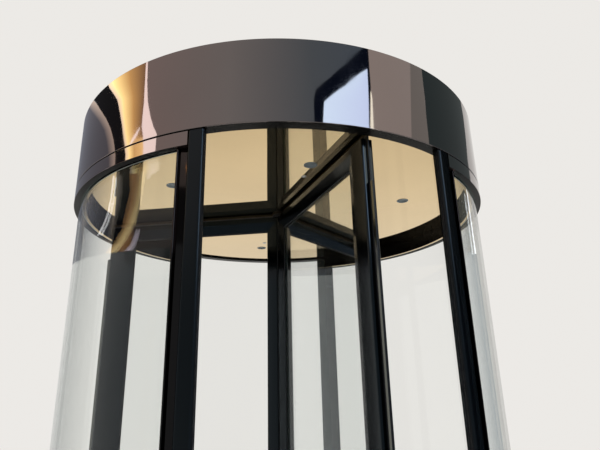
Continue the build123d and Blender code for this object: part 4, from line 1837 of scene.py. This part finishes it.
BOARDS = (
    Board("far_left_board", between(FAR_LEFT, BEIGE, 3.4, 6.3), (0.22, 0.23, 0.27), (0.26, 0.26, 0.30)),
    Board("beige_board", between(BEIGE, DARK, *HIGH_PART), (0.26, 0.26, 0.30), (1.35, 1.1, 0.92)),
    Board("dark_left_board", between(DARK, CREAM, *HIGH_PART), (0.03, 0.03, 0.034)),
    Board("cream_board", between(CREAM, GOLD, *HIGH_PART), (3.4, 2.8, 2.2), (5.4, 4.4, 2.1)),
    Board("gold_board", between(GOLD, BROWN, *HIGH_PART), (5.4, 4.3, 1.8), (2.6, 1.55, 0.55)),
    Board("amber_board", between(BROWN, PALE, HIGH_PART[0], AMBER_TOP), (3.0, 1.9, 0.75), (4.0, 2.7, 1.1)),
    Board("brown_board", between(BROWN, PALE, AMBER_TOP, HIGH_PART[1]), (2.5, 1.5, 0.53), (0.85, 0.50, 0.28)),
    Board(
        "white_streak_board",
        ((5.01, 181.0, 181.6), (5.09, 181.9, 183.6), (5.2, 184.4, 186.0), (5.31, 187.2, 187.6)),
        (5.2, 4.8, 4.7),
        distance=BEFORE,
    ),
    Board("pale_left_board", between(PALE, WARM, *HIGH_PART), (4.2, 3.7, 3.5)),
    Board("warm_board", between(WARM, COOL, *HIGH_PART), (0.74, 0.62, 0.58), (0.66, 0.66, 0.64)),
    Board(
        "low_line_board",
        (
            (3.72, 157.2, 159.8), (3.89, 162.2, 164.4), (4.06, 164.8, 166.8), (4.25, 165.8, 167.7),
            (4.45, 166.2, 168.1), (4.62, 166.0, 167.9),
        ),
        (6.0, 6.0, 6.0),
        distance=BEFORE,
    ),
    Board("low_beige_board", between(BEIGE, LOW_DARK, *LOW_PART), (0.9, 0.8, 0.7), (0.8, 0.7, 0.6)),
    Board("low_dark_board", between(LOW_DARK, LOW_BROWN, *LOW_PART), (0.03, 0.03, 0.034)),
    Board("low_brown_board", between(LOW_BROWN, LOW_WARM, *LOW_PART), (2.4, 1.24, 0.5), (1.8, 0.9, 0.4)),
    Board(
        "low_gold_board",
        (
            (3.42, 166.0, 173.5), (3.58, 173.0, 180.1), (3.83, 179.8, 185.3), (4.13, 183.4, 187.8),
            (4.49, 184.7, 189.2), (4.62, 184.9, 189.3),
        ),
        (2.6, 1.5, 0.6),
        (7.0, 5.4, 2.6),
        BEFORE,
    ),
    Board(
        "low_violet_board",
        (
            (3.38, 178.8, 182.0), (3.44, 181.4, 184.9), (3.5, 183.6, 186.4), (3.55, 185.2, 187.5),
            (3.66, 186.4, 188.2), (3.74, 187.6, 188.2),
        ),
        (6.0, 5.2, 6.0),
        distance=BEFORE,
    ),
    Board(
        "low_pink_board",
        ((4.48, 191.2, 191.6), (4.5, 191.0, 192.1), (4.56, 190.6, 194.3), (4.62, 190.5, 197.0)),
        (2.0, 1.6, 1.8),
        (6.0, 5.4, 5.6),
        BEFORE,
    ),
    Board("low_warm_board", between(LOW_WARM, COOL, *LOW_PART), (0.5, 0.42, 0.4), (0.60, 0.58, 0.55)),
    Board("profile_dark_board", ((3.4, 225, 244), (4.27, 225, 244)), (0.06, 0.066, 0.072), distance=BEFORE),
    Board(
        "profile_amber_board",
        ((4.28, 233.2, 234.8), (4.4, 232.4, 233.7), (4.5, 231.5, 232.5), (4.58, 230.8, 231.3)),
        (7.0, 3.6, 1.3),
        distance=5.93,
    ),
    Board(
        "floor_level_left_board",
        ((0.0, 115.0, 204.0), (3.4, 115.0, 204.0)),
        (1.0, 1.0, 0.97),
        (0.6, 0.62, 0.62),
        5.85,
    ),
    Board(
        "floor_level_board",
        ((0.0, 204.0, 380.0), (3.4, 204.0, 380.0)),
        (0.2, 0.24, 0.25),
        (0.17, 0.24, 0.32),
        5.85,
        64,
    ),
    Board("right_line_board", ((3.4, 374.3, 379.5), (4.6, 374.3, 379.0)), (2.6, 3.0, 3.8), (3.4, 3.4, 3.4)),
    Board("cool_board", ((0.0, 234, 275), (7.2, 234, 275)), (0.66, 0.66, 0.64), (0.30, 0.38, 0.43)),
    Board(
        "above_window_board",
        ((0.0, 275.0, 304.4), (7.2, 275.0, 304.4)),
        (0.30, 0.38, 0.43),
        (0.24, 0.34, 0.44),
    ),
    Board(
        "window_frame",
        (
            (0.0, 274.0, 304.4), (5.65, 275.1, 304.4), (5.82, 276.3, 304.4), (6.04, 283.5, 304.5),
            (6.29, 291.5, 304.5), (6.59, 300.7, 304.6), (6.69, 304.0, 304.7),
        ),
        (0.012, 0.02, 0.045),
        distance=BEFORE,
    ),
    Board(
        "window",
        (
            (3.4, 279.0, 301.6), (5.20, 279.0, 301.9), (5.58, 280.0, 302.6), (5.87, 290.7, 303.0),
            (6.20, 303.2, 303.3),
        ),
        (3.2, 4.4, 5.6),
        (2.8, 3.7, 5.2),
        5.9,
    ),
    Board(
        "window_edge_strip",
        ((3.4, 302.4, 304.4), (5.20, 302.6, 304.3), (5.70, 303.9, 304.8), (5.80, 304.1, 304.4)),
        (4.4, 4.6, 3.9),
        distance=5.9,
    ),
    Board("warm_right_board", ((0.0, 304.4, 326), (7.2, 304.4, 332)), (1.08, 1.0, 0.92), (1.0, 0.94, 0.88)),
    Board(
        "olive_board",
        ((0.0, 325.0, 338.0), (5.0, 325.7, 338.0), (6.4, 330.4, 338.8), (7.0, 332.0, 339.2)),
        (0.60, 0.60, 0.56),
        distance=BEFORE,
    ),
    Board(
        "dark_right_board",
        (
            (0.0, 337.2, 376.0), (5.0, 337.4, 377.3), (5.4, 338.0, 379.6), (5.8, 338.8, 380.8),
            (6.1, 338.8, 379.7), (7.0, 339.2, 378.0),
        ),
        (0.09, 0.13, 0.135),
        (0.12, 0.14, 0.14),
    ),
)


@dataclass
class Studio:
    """Floor, background, lamps, boards for the mirrors, and camera."""

    floor_radius: float = 60.0
    floor_steps: int = 64
    floor_drop: float = 0.5 * MM
    fill: float = 0.55
    camera_place: Point = (-0.5175, -2.578, 1.5365)
    camera_azimuth_degrees: float = 76.32
    camera_pitch_degrees: float = 18.25
    camera_roll_degrees: float = -1.41
    lens_mm: float = 29.92

    def build(self) -> None:
        """Sets up the studio."""
        self.make_floor()
        self.make_world()
        for lamp in LAMPS:
            lamp.build()
        for board in BOARDS:
            board.build()
        self.make_camera()

    def make_floor(self) -> None:
        """Flat round floor: triangles between its middle and a circle, just under the door."""
        rim = on_circle(self.floor_radius, around(self.floor_steps), -self.floor_drop)
        points = np.vstack([[0.0, 0.0, -self.floor_drop], rim])
        ring = np.arange(1, self.floor_steps + 1)
        faces = np.stack([0 * ring, ring, np.roll(ring, -1)], axis=1)
        mesh = bpy.data.meshes.new("studio_floor")
        mesh.from_pydata(points.tolist(), [], faces.tolist())
        floor = bpy.data.objects.new("studio_floor", mesh)
        bpy.context.scene.collection.objects.link(floor)
        mesh.materials.append(Backdrop("studio_floor_pale").material())

    def make_world(self) -> None:
        """Pale background for the camera and for mirrors, and a softer one as fill light."""
        world = bpy.data.worlds.new("studio_world")
        bpy.context.scene.world = world
        world.use_nodes = True
        recipe = Recipe(world.node_tree)
        strength = self.fill + (1.0 - self.fill) * recipe.seen()
        pale = recipe.shader("ShaderNodeBackground", {"Color": BACKGROUND, "Strength": strength})
        recipe.finish(pale, "ShaderNodeOutputWorld")

    def make_camera(self) -> None:
        """Camera near the entrance at eye height, looking up at the canopy."""
        a, p = radians(self.camera_azimuth_degrees), radians(self.camera_pitch_degrees)
        t = radians(self.camera_roll_degrees)
        look = np.array([cos(a) * cos(p), sin(a) * cos(p), sin(p)])
        right = np.array([sin(a), -cos(a), 0.0])
        up = np.cross(right, look)
        right, up = right * cos(t) + up * sin(t), up * cos(t) - right * sin(t)
        data = bpy.data.cameras.new("studio_camera")
        data.lens = self.lens_mm
        camera = bpy.data.objects.new("studio_camera", data)
        bpy.context.scene.collection.objects.link(camera)
        camera.matrix_world = placed(right, up, -look, np.asarray(self.camera_place))
        bpy.context.scene.camera = camera


def main() -> None:
    """Builds the studio and the door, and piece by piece."""
    logging.basicConfig(level=logging.INFO, format="%(name)s %(message)s")
    bpy.context.scene.view_settings.view_transform = "Standard"
    bpy.context.scene.cycles.transparent_max_bounces = 32
    Studio().build()
    FloorWork().build()
    for side in ("right", "left"):
        SideWall(side).build()
    Posts().build()
    Canopy().build()
    Core().build()
    for name in LEAVES:
        Leaf(name).build()


if __name__ == "__main__":
    main()
